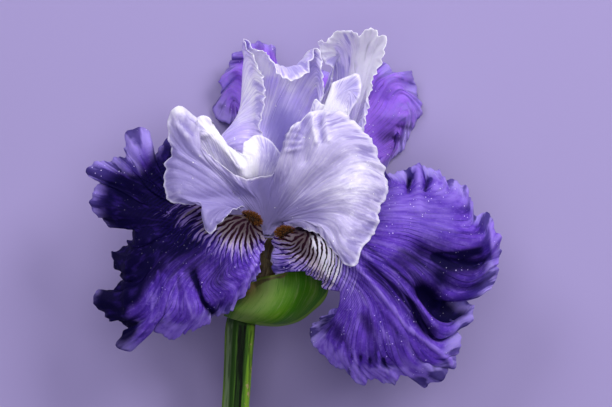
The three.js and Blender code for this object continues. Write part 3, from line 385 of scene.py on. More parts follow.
# What is drawn on each petal, in millimetres seen from the front: the side (1 or -1) of its face
# against its normals; rib, where its midrib runs and how wide; frill, the depth of its scallops;
# ruffles (height, waves, phase, fade); folds (height, width, points of their line); tone strokes
# (amount, width, points), deeper in colour where positive and paler where negative, mostly painted
# shade and painted highlights laid where parts of the petal lie in shade or catch the light, partly
# its own deeper or paler colour; haft, the beard's middle, the turn in degrees from which vein
# lanes count and their bend; pale, how far the pale ground reaches by turn; and spacing, the width
# that its vein lanes are kept to.
PETALS = {
    "standard_front": dict(
        shape=STANDARD_FRONT, side=1, rib=(0.42, 0.02), frill=0.3,
        ruffles=((0.5, 17, 0.1, 4.0), (0.25, 33, 0.2, 1.5), (0.35, 49, 0.4, 8.0), (0.3, 71, 0.7, 14.0)),
        folds=(
            (0.8, 0.6, (18.2, 31), (17.3, 36), (16.8, 41)),
            (0.7, 0.55, (22.2, 31.5), (21.5, 36), (21, 40.5)),
            (-0.7, 0.8, (20, 31), (19.3, 36), (19, 40.5)), (-1.2, 1.3, (14, 25), (13.6, 31), (14.2, 37)),
            (0.8, 0.45, (8, 28), (12.5, 29)), (0.8, 0.45, (8, 30.6), (12.5, 31)),
            (0.8, 0.45, (8.5, 33), (12.5, 33)), (0.8, 0.45, (9.5, 35.4), (12.8, 35.2)),
            (0.8, 0.7, (-23, 37), (-18, 31), (-12, 25)), (-0.8, 0.6, (-21, 36.5), (-16, 31), (-10, 25.5)),
            (0.8, 0.5, (-29, 37), (-24, 32)), (-0.9, 0.5, (-27.4, 38), (-22.6, 33.4)),
            (0.8, 0.5, (-26, 39), (-21.4, 35)), (-0.8, 0.5, (-24, 39), (-20, 35.6)),
            (-0.9, 1.4, (-29, 10.6), (-14, 12.6), (-7, 13)), (0.4, 1.6, (-19, 8), (-11, 11.4)),
            (-1.0, 1.5, (1, 2), (0.6, 12), (0, 18)), (-0.8, 2.0, (16, 3), (24, 8), (34, 6)),
            (0.6, 1.6, (14, 12), (26, 17), (38, 16)), (-0.7, 1.6, (14, 16), (24, 24), (35, 27)),
            (0.5, 1.4, (12, 17), (19, 27), (28, 35)), (-0.6, 1.8, (20, 2), (30, -1), (36, 1)),
        ),
        # Mostly painted shade over the left lobe, round the claw and between the ridges, and painted
        # highlights along the ridges and the crest's edge.
        painted_shade_light_and_tones=(
            (0.75, 7.0, (-27, 26), (-20, 14), (-8, 11)), (0.4, 5.0, (-15, 4), (-9, 10)),
            (0.9, 5.0, (1, 2), (2, 12), (3, 17)), (0.7, 4.5, (8, 5), (15, 9)),
            (0.35, 5.0, (30, -5), (36, 1)), (0.5, 2.0, (10.5, 28), (11.5, 35)),
            (-0.35, 5.0, (26, 12), (34, 22)), (-0.5, 1.0, (-17, 26.5), (-8, 19.6), (0, 18.8)),
            (0.35, 4.5, (20, 36), (27, 35)), (-0.6, 0.5, (18.2, 31), (17.3, 36), (16.8, 41)),
            (-0.5, 0.45, (22.2, 31.5), (21.5, 36), (21, 40.5)),
            (0.4, 0.5, (20, 31), (19.3, 36), (19, 40.5)), (0.4, 0.35, (8.5, 29.4), (12.3, 30)),
            (0.4, 0.35, (8.5, 31.9), (12.3, 32)), (0.4, 0.35, (9, 34.3), (12.5, 34.1)),
            (-0.35, 1.8, (-20, 34), (-14, 28), (-9, 23)), (0.15, 3.6, (-28, 36), (-25, 32)),
            (-0.6, 0.9, (-29, 42), (-24, 39), (-19, 36)), (0.2, 8.0, (-25, 16), (-16, 6)),
            (0.5, 0.5, (-27.4, 38), (-22.6, 33.4)), (0.5, 0.5, (-24, 39), (-20, 35.6)),
        ),
    ),
    "standard_back_left": dict(
        shape=STANDARD_BACK_LEFT, side=1, frill=0.25,
        ruffles=((0.5, 15, 0.3, 4.0), (0.2, 29, 0.2, 1.5), (0.4, 43, 0.1, 8.0), (0.3, 67, 0.5, 14.0)),
        folds=((-1.0, 2.2, (5, 26), (5, 44)), (0.8, 1.6, (-3, 30), (-4, 44), (-5, 58))),
        # Painted shade in the hollow and on the flap, painted highlights on the tip and along the rim.
        painted_shade_light_and_tones=(
            (0.8, 5.0, (8, 24), (7, 36)), (0.25, 6.0, (10, 38), (12, 48)),
            (0.3, 3.0, (-10, 34), (-6, 26)),
            (-0.2, 2.0, (-4, 54), (-3.5, 62)), (-0.9, 2.4, (-1, 62), (1, 56)),
            (0.45, 2.2, (6, 57), (11, 55), (15, 57)), (-0.5, 0.5, (4, 54), (9.7, 51.5), (15, 54)),
            (0.35, 3.0, (-7, 55), (-5, 46), (-4, 38)),
        ),
    ),
    "standard_back_right": dict(
        shape=STANDARD_BACK_RIGHT, side=1, frill=0.25,
        ruffles=((0.5, 13, 0.6, 4.0), (0.2, 27, 0.4, 1.5), (0.4, 41, 0.2, 8.0), (0.3, 61, 0.7, 14.0)),
        folds=(
            (1.2, 0.9, (27, 57), (23, 62), (21, 66)), (-1.0, 1.0, (29, 57), (26.5, 63), (25, 68)),
            (1.0, 1.2, (29, 50), (31, 57), (36, 64)), (-1.2, 2.0, (26, 48), (28, 55)),
        ),
        # A painted highlight over the bright facet, painted shade beside it and along its pleats.
        painted_shade_light_and_tones=(
            (0.45, 1.6, (25, 57), (27, 52), (31, 48)), (-0.8, 2.0, (19, 60), (24, 66)),
            (-0.8, 2.0, (33, 66), (41, 66)), (-1.3, 4.5, (34, 50), (35, 58), (39, 62)),
            (0.7, 0.4, (29.5, 60), (28.6, 55), (34, 49)), (0.4, 0.35, (21, 59), (22, 66)),
            (0.4, 0.35, (24.6, 60), (25.4, 66)), (-0.5, 2.0, (22, 62), (27, 66)),
            (0.5, 0.6, (27, 56), (24.6, 62), (23, 66)), (0.4, 0.6, (29, 58), (29, 63), (28, 67)),
        ),
    ),
    "fall_left": dict(
        shape=FALL_LEFT, side=-1, frill=0.5, haft=(-4.0, 6.0, -115.0, -0.03),
        pale=((-85, 23), (-65, 22), (-35, 15), (25, 12), (55, 10)),
        ruffles=((0.9, 16, 0.2, 4.0), (0.6, 51, 0.7, 7.0), (0.4, 73, 0.3, 12.0)),
        folds=(
            (-1.7, 0.8, (-23, -12), (-20, -22), (-16, -27)),
            (0.7, 1.4, (-26, -14), (-24, -23), (-21, -30)),
            (-0.7, 1.0, (-28, -18), (-27.5, -31)), (0.5, 1.0, (-31, -16), (-31, -31)),
            (-0.6, 1.0, (-35, -17), (-35.5, -30)), (0.6, 1.2, (-12, -10), (-10, -21)),
            (1.8, 1.8, (-38, -2), (-44, -10), (-44.5, -26)), (-1.5, 2.2, (-40, 22), (-36, 12), (-30, 4)),
            (-2.0, 2.5, (-50, 20), (-42, 12)), (1.2, 1.2, (-46, 22), (-42, 33)),
            (-1.2, 1.4, (-52, 16), (-46, 10)),
        ),
        # Painted shadow of the standards over the upper part and outer lobes, painted shade in the
        # creases and painted highlights on the ridges.
        painted_shade_light_and_tones=(
            (1.0, 8.0, (-22, 9), (-34, 10), (-42, 8)), (1.0, 7.0, (-26, 0), (-36, -2.6), (-42, -9)),
            (1.0, 4.5, (-46, -4), (-46, -12), (-47, -18)), (0.7, 5.0, (-46, 14), (-52, 10)),
            (1.0, 5.0, (-47, -21), (-52, -23)), (0.8, 3.0, (-48, -27), (-46, -30)),
            (0.65, 0.8, (-23, -13), (-19.5, -22), (-16, -26)), (0.9, 4.0, (-33, 27), (-35, 19)),
            (0.8, 3.0, (-45, -31), (-48, -38)), (0.1, 3.0, (-42, 31), (-42, 34)),
            (0.35, 3.0, (-55, 19), (-50, 18)), (-0.45, 0.4, (-33, -13), (-31, -28)),
            (-0.45, 0.4, (-37, -16), (-37, -28)), (-0.45, 0.4, (-27, -12), (-25, -22), (-22, -29)),
            (-0.4, 0.4, (-35, -12), (-34.5, -27)), (-0.4, 0.4, (-29, -14), (-28, -28)),
            (0.45, 5.0, (-30, -15), (-22, -13), (-12, -11)), (0.4, 4.0, (-13, -11), (-14, -22)),
            (0.8, 4.2, (-13, 3), (-5, 3)), (-0.2, 5.0, (-34, -20), (-24, -24)),
            (-0.25, 5.0, (-14, -14), (-8, -10)),
            (-0.8, 0.7, (-0.5, -5), (-2.5, -9), (-5.4, -16.5), (-9.5, -22)),
            (-1.2, 1.8, (-19, -29), (-27, -32.5), (-34, -31)),
        ),
    ),
    "fall_right": dict(
        shape=FALL_RIGHT, side=1, frill=0.5, haft=(15.0, 1.5, -75.0, 0.075),
        pale=((-95, 13), (-65, 12), (-15, 14), (5, 21), (25, 20), (45, 15), (70, 11)),
        ruffles=((0.9, 17, 0.5, 4.0), (0.6, 53, 0.3, 7.0), (0.4, 77, 0.6, 12.0)),
        folds=(
            (0.9, 0.6, (24, -3), (38, -17), (48, -30), (57, -37), (63, -42)),
            (0.8, 0.7, (30, -3), (42, -13), (52, -22), (57, -29)),
            (-0.9, 1.0, (34, -9), (44, -19), (54, -31)), (0.7, 0.6, (42, -26), (50, -36), (57, -46)),
            (-2.4, 2.4, (54, -6), (64, -9), (76, -9)), (1.0, 1.8, (48, 2), (62, 0), (78, -1)),
            (-2.8, 2.4, (54, -20), (60, -25), (66, -27)), (0.9, 1.0, (50, -11), (62, -19.5), (74, -20)),
            (-2.4, 0.9, (49.5, 20), (49, 15)), (-2.4, 0.9, (55.5, 20), (55, 15.5)),
            (1.3, 1.0, (52.4, 22), (52.4, 8)), (-0.8, 1.3, (34, -28), (40, -38), (42, -46)),
            (0.5, 1.2, (29, -24), (34, -36), (36, -46)), (-0.7, 1.3, (24, -30), (28, -38), (30, -45)),
            (0.5, 1.1, (46, -34), (49, -44)),
        ),
        # Painted shade in the hollows and creases, painted highlights on the ridges, the rim and the
        # haft's lit side.
        painted_shade_light_and_tones=(
            (0.8, 1.2, (59, -7.4), (66, -6.4), (73, -5)), (0.55, 2.8, (7, -1), (12, -3.5), (15, -7)),
            (0.6, 1.6, (3, -8.5), (6, -10), (9, -11)), (0.5, 3.0, (61, -10), (73, -10)),
            (0.5, 2.6, (60, -15), (66, -17), (71, -16.5)), (0.55, 4.2, (47, -9), (53, -14), (56, -18)),
            (0.4, 2.6, (57, -24), (62, -27)), (0.35, 2.0, (62, -24), (67, -25)),
            (0.7, 2.6, (37, -11), (48, -22), (56, -32)), (0.7, 0.9, (49.5, 19.5), (49, 16)),
            (0.7, 0.9, (55.5, 19), (55, 16)), (0.45, 2.4, (34, -26), (38, -36), (40, -42)),
            (0.6, 2.0, (46, -34), (56, -44)),
            (-0.75, 0.45, (27, -5), (38, -17), (48, -30), (57, -37), (63, -42)),
            (-0.7, 0.5, (30, -3), (42, -13), (52, -22), (57, -29)),
            (-0.5, 0.35, (28, -3), (40, -14), (50, -26)), (-0.4, 0.4, (34, 1), (44, -5)),
            (0.3, 3.0, (52, -1), (60, -2)), (0.5, 0.5, (32, -1), (44, -11), (53, -19)),
            (-0.5, 0.4, (24, -8), (33, -20), (42, -34)), (0.4, 0.5, (25, -6), (35, -19), (45, -32)),
            (-0.6, 2.5, (60, 15), (68, 12)), (-0.8, 1.2, (77, 3), (79, -10)),
            (-0.5, 4.0, (42, 10), (60, 5)), (-1.0, 2.2, (20, -36), (28, -43), (38, -46)),
            (0.6, 0.5, (30, -40), (29, -46)), (0.6, 0.5, (36, -41), (36, -48)),
            (0.5, 0.5, (25, -37), (22, -42)), (-0.5, 4.5, (27, -12), (32, -20)),
            (0.6, 0.5, (33, -40), (32.5, -46)), (0.6, 0.5, (41, -41), (42, -46)),
            (-1.1, 1.6, (36, -46.5), (45, -46), (54, -45)), (-0.8, 0.45, (31, -38), (31, -47)),
            (-0.8, 0.45, (39, -39), (39.5, -48)), (-0.8, 0.45, (27, -36), (25.4, -43)),
            (-0.3, 4.0, (44, -36), (48, -41)), (-0.4, 3.0, (46, 16), (60, 18)),
            (0.5, 3.0, (22, -30), (26, -34)), (-0.8, 2.6, (19, -3), (23, -9), (26, -13)),
            (0.3, 3.0, (30, -40), (36, -41)),
        ),
    ),
    "fall_back": dict(
        shape=FALL_BACK, side=1, frill=0.4, haft=(2.0, 12.0, 75.0, 0.0), pale=((-180, 14), (180, 14)),
        ruffles=((1.1, 15, 0.8, 3.5), (0.5, 37, 0.6, 6.0), (0.3, 61, 0.2, 10.0)),
        folds=(
            (-1.0, 2.0, (40, 34), (50, 34)), (1.2, 1.4, (40, 40), (52, 42)),
            (-1.2, 1.4, (42, 46), (50, 50)), (-0.5, 0.5, (46, 41.6), (53, 42.4)),
            (-0.5, 0.5, (46, 37), (52.5, 36)), (-0.4, 0.5, (45, 33), (49, 31)),
        ),
        # Painted shade in the pleats and painted highlights on their crests.
        painted_shade_light_and_tones=(
            (0.15, 2.4, (40, 34.5), (43.5, 32)), (0.15, 2.6, (42, 33), (48, 35)),
            (0.3, 1.8, (44, 28), (40, 25)), (0.35, 1.4, (36, 47), (39.5, 53)),
            (0.4, 0.5, (46, 41.6), (53, 42.4)), (0.15, 0.5, (46, 37), (52.5, 36)),
            (-0.6, 0.6, (47, 39.6), (53, 39.8)), (-0.6, 0.6, (47, 44), (53, 45)),
            (-0.5, 0.6, (46, 35), (51, 33.6)), (0.15, 0.5, (45, 33), (49, 31)),
            (0.5, 1.2, (-9, 42), (-14, 44)), (-0.35, 3.0, (43, 42), (50, 40)),
            (-0.3, 2.6, (-12, 50), (-9, 58)), (0.4, 0.8, (42, 38), (51, 37)),
            (0.35, 0.7, (43, 46), (52, 46)), (-0.6, 4.0, (46, 52), (49, 48)),
            (-0.5, 3.5, (-13, 50), (-9, 46)), (0.4, 0.7, (-15, 50), (-10, 49)),
            (0.4, 0.7, (-12, 57), (-7, 54)),
        ),
    ),
    "style_arm_left": dict(
        shape=STYLE_ARM_LEFT, side=1, ruffles=((0.3, 21, 0.1, 6.0), (0.2, 43, 0.5, 10.0)),
        folds=(
            (0.9, 0.6, (-22.7, 32.6), (-15.5, 34)), (0.9, 0.9, (-14, 32), (-9, 26), (-6, 20)),
            (-0.7, 1.6, (-18, 31), (-9, 21)),
        ),
        # Painted highlights on the crests and painted shade beside them.
        painted_shade_light_and_tones=(
            (-1.0, 2.6, (-4, 22), (-3.4, 30)), (0.6, 3.0, (3, 24), (4, 29)),
            (0.35, 2.0, (-18, 30), (-9, 21)), (-1.0, 1.4, (-15.5, 34), (-11, 28.5), (-7, 25)),
            (-0.8, 1.5, (-20, 38), (-17, 35)),
        ),
    ),
    "style_arm_right": dict(shape=STYLE_ARM_RIGHT, side=1, ruffles=((0.3, 17, 0.4, 6.0),)),
    "style_arm_back": dict(
        shape=STYLE_ARM_BACK, side=-1, ruffles=((0.3, 19, 0.7, 6.0), (0.2, 37, 0.2, 10.0)),
        # A painted highlight on the crest and painted shade beside it.
        painted_shade_light_and_tones=((-0.9, 4.0, (22, 46), (26, 38)), (0.5, 2.0, (30, 50), (27, 46))),
    ),
    "spathe_outer": dict(
        shape=SPATHE_OUTER, side=-1, spacing=1.0, rib=(0.5, 0.02),
        # The drying brown strip near the upper rim, and a painted highlight along the lower outline.
        painted_shade_light_and_tones=(
            (1.0, 1.2, (-5, -19), (-2, -16), (1.5, -14), (6.5, -12.6)), (0.45, 0.7, (6, -14), (9, -12)),
            (
                -1.6, 0.5, (-1.5, -29.3), (4.5, -30.1), (8.5, -29.8), (12, -28.5), (15.3, -26.4),
                (18, -23.8), (20.7, -20.8), (22.6, -18),
            ),
        ),
    ),
}
STANDARDS = ("standard_front", "standard_back_left", "standard_back_right")
FALLS = ("fall_left", "fall_right", "fall_back")
STYLE_ARMS = ("style_arm_left", "style_arm_right", "style_arm_back")

# The part of its petal that each beard's pad covers: from and to across it, then along it.
BEARDS = {
    "beard_left": dict(petal="fall_left", patch=(0.44, 0.7, 0.14, 0.245)),
    "beard_right": dict(petal="fall_right", patch=(0.38, 0.66, 0.13, 0.225)),
    "beard_back": dict(petal="fall_back", patch=(0.4, 0.58, 0.14, 0.3)),
}
STAMENS = {
    "stamen_left": STAMEN_LEFT_LINE,
    "stamen_right": STAMEN_RIGHT_LINE,
    "stamen_back": STAMEN_BACK_LINE,
}

BODY = next(iter(frame["bodies"]))

# How far a piece's box may differ from that of the CAD nodes it replaces, in metres.
SEAT_TOLERANCE = 0.006

# Vein lanes: how many leave a petal's claw and the millimetres they are kept apart; on the haft,
# how many there are to a radian round the beard and the millimetres they are kept apart.
LANES_AT_CLAW = 12
VEIN_SPACING = 1.3
HAFT_DENSITY = 5.0
HAFT_SPACING = 1.6

# A petal's wall thins out with this power of the way along it, and its midrib is thicker by a share.
THINNING = 0.6
RIB_SWELL = 0.35

# How squarely a tone's stroke ends; the share, waves and phase of a frilled margin's scallops; and
# the power by which the scallops fade inwards.
TONE_SHARPNESS = 2.8
SCALLOPS = ((0.6, 31, 0.2), (0.5, 57, 0.6), (0.4, 89, 0.1))
SCALLOP_FADE = 16

# A beard's pad: its height over the petal, the least thickness and the dome on it, in millimetres.
BEARD_LIFT = 0.5
BEARD_RISE = 0.15
BEARD_DOME = 1.0

# The stem's flutes: how many and how deep, as a share of its radius, here and on the CAD model.
STEM_FLUTES = 5
FLUTE_DEPTH = 0.028
CAD_FLUTE_DEPTH = 0.03

# Facets of the pieces across and along them, or round and along. The rear petals are less fine.
BACK_FINENESS = 0.8
STYLE_ARM_FACETS = (120, 48)
BRACT_FACETS = (160, 60)
PAD_FACETS = (24, 30)
STAMEN_FACETS = (28, 90)
STEM_FACETS = (80, 150)
STEM_END_RINGS = 6
OVARY_FACETS = (48, 40)
TUBE_FACETS = (48, 60)
SHEATH_FACETS = (100, 50)

# Thickness of the walls at the claw and at the margin, in millimetres, and of the papery sheath.
STYLE_ARM_WALL = (0.75, 0.3)
BRACT_WALL = (0.85, 0.4)
SHEATH_WALL = 0.35

# The middle of the view, in the bloom's frame. The floor's half width and the gap under the bloom
# are in metres.
AIM = (14.667, 10.5, 0.0)
FLOOR_HALF = 8.0
FLOOR_GAP = 0.0001

# The soft lights: degrees clockwise from the bloom's head, degrees over the floor, metres from the
# bloom, metres across, and colour.
LIGHTS = {
    "key": (50, 38, 1.1, 0.5, (1.0, 0.98, 1.0)),
    "side": (-40, 42, 1.1, 0.5, (0.96, 0.96, 1.0)),
    "fill": (180, 84, 1.3, 1.0, (1.0, 1.0, 1.0)),
}
WORLD_COLOUR = (0.72, 0.66, 1.0, 1.0)
WORLD_STRENGTH = 0.26


# ------------------------------------------------------------------ curves and surfaces
def through(points, t):
    """Points of the smooth curve through evenly weighted points, t from 0 to 1."""
    p = np.asarray(points, float)
    last = len(p) - 1
    p = np.vstack([2 * p[0] - p[1], p, 2 * p[-1] - p[-2]])
    x = np.clip(t, 0, 1) * last
    i = np.minimum(x.astype(int), last - 1)
    s = (x - i).reshape(-1, *[1] * (p.ndim - 1))
    a, b, c, d = p[i], p[i + 1], p[i + 2], p[i + 3]
    bend, twist = 2 * a - 5 * b + 4 * c - d, 3 * b - a - 3 * c + d
    return 0.5 * (2 * b + (c - a) * s + bend * s**2 + twist * s**3)


def running_share(points):
    """How far along a run of points each one lies, from 0 to 1."""
    steps = np.linalg.norm(np.diff(points, axis=0), axis=1)
    run = np.concatenate([[0], np.cumsum(steps)])
    return run / run[-1]


def calmed(rows, spread):
    """A run of points averaged with their neighbours, its ends held."""
    reach = max(1, int(3 * spread))
    weights = np.exp(-0.5 * (np.arange(-reach, reach + 1) / spread) ** 2)
    weights /= weights.sum()
    ends = np.vstack([2 * rows[0] - rows[reach:0:-1], rows, 2 * rows[-1] - rows[-2:-reach - 2:-1]])
    return np.stack([np.convolve(ends[:, k], weights, "valid") for k in range(rows.shape[1])], 1)


def margin_runs(margin, u):
    """The lobed margin and its calmed run at u, measured by length along the calmed run."""
    points = np.asarray(margin, float)
    t = np.linspace(0, 1, MARGIN_SAMPLES)
    at = np.interp(t, running_share(points), np.linspace(0, 1, len(points)))
    lobed = through(points, at)
    calm = calmed(lobed, MARGIN_SOFTNESS * MARGIN_SAMPLES)
    share = np.interp(u, running_share(calm), t)
    return [np.stack([np.interp(share, t, run[:, k]) for k in range(3)], 1) for run in (lobed, calm)]


def down_columns(rows, v):
    """The surface that passes smoothly through rows of points set at ROWS_AT."""
    at, rows = np.asarray(ROWS_AT), np.asarray(rows)
    steps = np.diff(at)
    rise = np.diff(rows, axis=0) / steps[:, None, None]
    slope = np.empty_like(rows)
    slope[0], slope[-1] = rise[0], rise[-1]
    for k in range(1, len(at) - 1):
        slope[k] = (rise[k - 1] * steps[k] + rise[k] * steps[k - 1]) / (steps[k - 1] + steps[k])
    i = np.clip(np.searchsorted(at, v, side="right") - 1, 0, len(at) - 2)
    h = steps[i][:, None, None]
    t = (v - at[i])[:, None, None] / h
    start = (2 * t**3 - 3 * t**2 + 1) * rows[i] + (t**3 - 2 * t**2 + t) * h * slope[i]
    return start + (3 * t**2 - 2 * t**3) * rows[i + 1] + (t**3 - t**2) * h * slope[i + 1]


def petal_grid(shape, u, v, lobes=1.0):
    """A petal's middle surface as a grid of points, u across it and v from claw to margin."""
    lobed, calm = margin_runs(shape["margin"], u)
    rows = [through(shape[row], u) for row in ("base", "neck", "mid", "rim")]
    fade = np.clip((v - ROWS_AT[1]) / (1 - ROWS_AT[1]), 0, 1) ** LOBE_FADE
    return down_columns([*rows, calm], v) + lobes * fade[:, None, None] * (lobed - calm)[None]


def normals_of(grid):
    """The way each point of a grid faces: across it times along it."""
    facing = np.cross(np.gradient(grid, axis=1), np.gradient(grid, axis=0))
    return facing / np.maximum(np.linalg.norm(facing, axis=2, keepdims=True), 1e-12)


def stroke(grid, width, *points, sharpness=2.0):
    """How much of each place of a grid a soft stroke through points (x, y) covers, 0 to 1."""
    x, y = grid[..., 0], grid[..., 1]
    nearest = np.full(x.shape, np.inf)
    for (ax, ay), (bx, by) in zip(points, points[1:]):
        run = np.array([bx - ax, by - ay], float)
        share = np.clip(((x - ax) * run[0] + (y - ay) * run[1]) / max(run @ run, 1e-9), 0, 1)
        nearest = np.minimum(nearest, np.hypot(x - ax - share * run[0], y - ay - share * run[1]))
    return np.exp(-0.5 * (nearest / width) ** sharpness)


def dressed(grid, u, v, side, ruffles=(), folds=(), frill=0.0):
    """The grid with ruffles along its margin and folds pressed into it, and how high they stand.

    A ruffle is (height, waves, phase, fade) and a fold (height, width, points of its line).
    Heights are towards the petal's face, which side says is along (1) or against (-1) its normals.
    A frill is how far small scallops run in and out along the margin.
    """
    uu, vv = np.meshgrid(u, v)
    height = np.zeros_like(uu)
    for rise, waves, phase, fade in ruffles:
        wander = 0.3 * np.sin(2 * np.pi * (0.23 * waves * uu + 3.1 * phase))
        wander += 0.2 * np.sin(2 * np.pi * (0.41 * waves * uu + 1.7 * phase))
        swell = 0.7 + 0.3 * np.sin(2 * np.pi * (0.31 * waves * uu + 5.3 * phase))
        height += rise * swell * np.sin(2 * np.pi * (waves * uu + phase + wander)) * vv**fade
    pressed = sum((rise * stroke(grid, *line) for rise, *line in folds), np.zeros_like(uu))
    outward = np.gradient(grid, axis=0)
    outward /= np.maximum(np.linalg.norm(outward, axis=2, keepdims=True), 1e-9)
    scallops = sum(
        share * np.sin(2 * np.pi * (waves * uu + 0.35 * np.sin(2 * np.pi * (0.29 * waves * uu + phase))))
        for share, waves, phase in SCALLOPS
    )
    grid = grid + (frill * scallops * vv**SCALLOP_FADE)[..., None] * outward
    return grid + side * (height + pressed)[..., None] * normals_of(grid), height + pressed


# ------------------------------------------------------------------ meshes
def mesh_from(name, points, faces, corner_maps=(), point_values=()):
    """A smooth mesh, in millimetres of the bloom's frame, with its maps and point values."""
    mesh = bpy.data.meshes.new(name)
    mesh.from_pydata(points.tolist(), [], faces)
    mesh.update()
    corners = np.empty(len(mesh.loops), int)
    mesh.loops.foreach_get("vertex_index", corners)
    for label, values in corner_maps:
        layer = mesh.uv_layers.new(name=label)
        spread = values[corners] if len(values) == len(points) else values
        layer.data.foreach_set("uv", np.asarray(spread, np.float32).ravel())
    for label, values in point_values:
        layer = mesh.attributes.new(label, "FLOAT", "POINT")
        layer.data.foreach_set("value", np.asarray(values, np.float32).ravel())
    mesh.polygons.foreach_set("use_smooth", [True] * len(mesh.polygons))
    return mesh


def wall_between(upper, lower):
    """Points and faces of the closed wall between two grids; upper lies where normals point."""
    rows, columns = upper.shape[0] - 1, upper.shape[1] - 1
    stride = columns + 1
    under = (rows + 1) * stride
    j, i = np.meshgrid(np.arange(rows), np.arange(columns), indexing="ij")
    a = (j * stride + i).ravel()
    top = np.stack([a, a + 1, a + stride + 1, a + stride], 1)
    bottom = under + top[:, [1, 0, 3, 2]]
    i = np.arange(columns)
    claw = np.stack([i + 1, i, under + i, under + i + 1], 1)
    e = rows * stride + i
    margin = np.stack([e, e + 1, under + e + 1, under + e], 1)
    left = np.arange(rows) * stride
    right = left + columns
    near = np.stack([left, left + stride, under + left + stride, under + left], 1)
    far = np.stack([right + stride, right, under + right, under + right + stride], 1)
    faces = np.concatenate([top, bottom, claw, margin, near, far])
    return np.concatenate([upper.reshape(-1, 3), lower.reshape(-1, 3)]), faces.tolist()


def petal_mesh(name, petal, columns, rows, middle, edge):
    """A petal as a thin closed wall, middle thick at its claw and edge thick at its margin.

    Its maps: Across is (u, v); Lanes counts vein lanes from one side and gives their width over
    the wanted spacing; Haft is the turn round the beard in lanes and the distance from it. Its
    values: the sum of its tone strokes, mostly painted shade and painted highlights and partly its
    own deeper or paler colour; height of folds; back; and pale, the distance from the beard over
    that at which the pale ground ends.
    """
    u, v = np.linspace(0, 1, columns + 1), np.linspace(0, 1, rows + 1)
    shape, side = petal["shape"], petal["side"]
    plain = petal_grid(shape, u, v)
    # The tone strokes: mostly painted shade and painted highlights, partly the petal's own colour.
    tone = np.zeros(plain.shape[:2])
    for amount, *line in petal.get("painted_shade_light_and_tones", ()):
        tone += amount * stroke(plain, *line, sharpness=TONE_SHARPNESS)
    drawn = {key: petal[key] for key in ("ruffles", "folds", "frill") if key in petal}
    grid, height = dressed(plain, u, v, side, **drawn)
    values = [("deepness", tone), ("height", height)]
    facing = normals_of(grid)
    uu, vv = np.meshgrid(u, v)
    thick = middle + (edge - middle) * vv**THINNING
    rib_at, rib_width = petal.get("rib", (0.5, 0.03))
    thick += RIB_SWELL * middle * np.exp(-0.5 * ((uu - rib_at) / rib_width) ** 2) * (1 - vv)
    upper = grid + 0.5 * thick[..., None] * facing
    lower = grid - 0.5 * thick[..., None] * facing
    points, faces = wall_between(upper, lower)
    calm = petal_grid(shape, u, v, lobes=0.0)
    lane_width = np.linalg.norm(np.gradient(calm, axis=1), axis=2) * columns / LANES_AT_CLAW
    lanes = np.stack([uu * LANES_AT_CLAW, lane_width / petal.get("spacing", VEIN_SPACING)], 2)
    maps = [("Across", np.stack([uu, vv], 2)), ("Lanes", lanes)]
    if "haft" in petal:
        x, y, toward, bend = petal["haft"]
        dx, dy = plain[..., 0] - x, plain[..., 1] - y
        reach = np.hypot(dx, dy)
        turn = np.arctan2(dy, dx) - math.radians(toward)
        turn = (turn + np.pi) % (2 * np.pi) - np.pi
        maps.append(("Haft", np.stack([(turn + bend * reach) * HAFT_DENSITY, reach], 2)))
        turns, reaches = zip(*petal["pale"])
        values.append(("pale", reach / np.interp(np.degrees(turn), turns, reaches)))
    maps = [(label, np.concatenate([numbers.reshape(-1, 2)] * 2)) for label, numbers in maps]
    values = [(label, np.concatenate([numbers.ravel()] * 2)) for label, numbers in values]
    face_side = np.concatenate([np.zeros(uu.size), np.ones(uu.size)])
    values.append(("back", face_side if side > 0 else 1 - face_side))
    return mesh_from(name, points, faces, maps, values)


def line_frames(line, t):
    """Centres, sideways and outward directions along the smooth line through points."""
    centre = through(line, t)
    ahead = through(line, np.clip(t + 1e-3, 0, 1)) - through(line, np.clip(t - 1e-3, 0, 1))
    ahead /= np.linalg.norm(ahead, axis=1, keepdims=True)
    sideways = np.cross([0, 0, 1], ahead)
    sideways /= np.linalg.norm(sideways, axis=1, keepdims=True)
    return centre, sideways, np.cross(ahead, sideways)


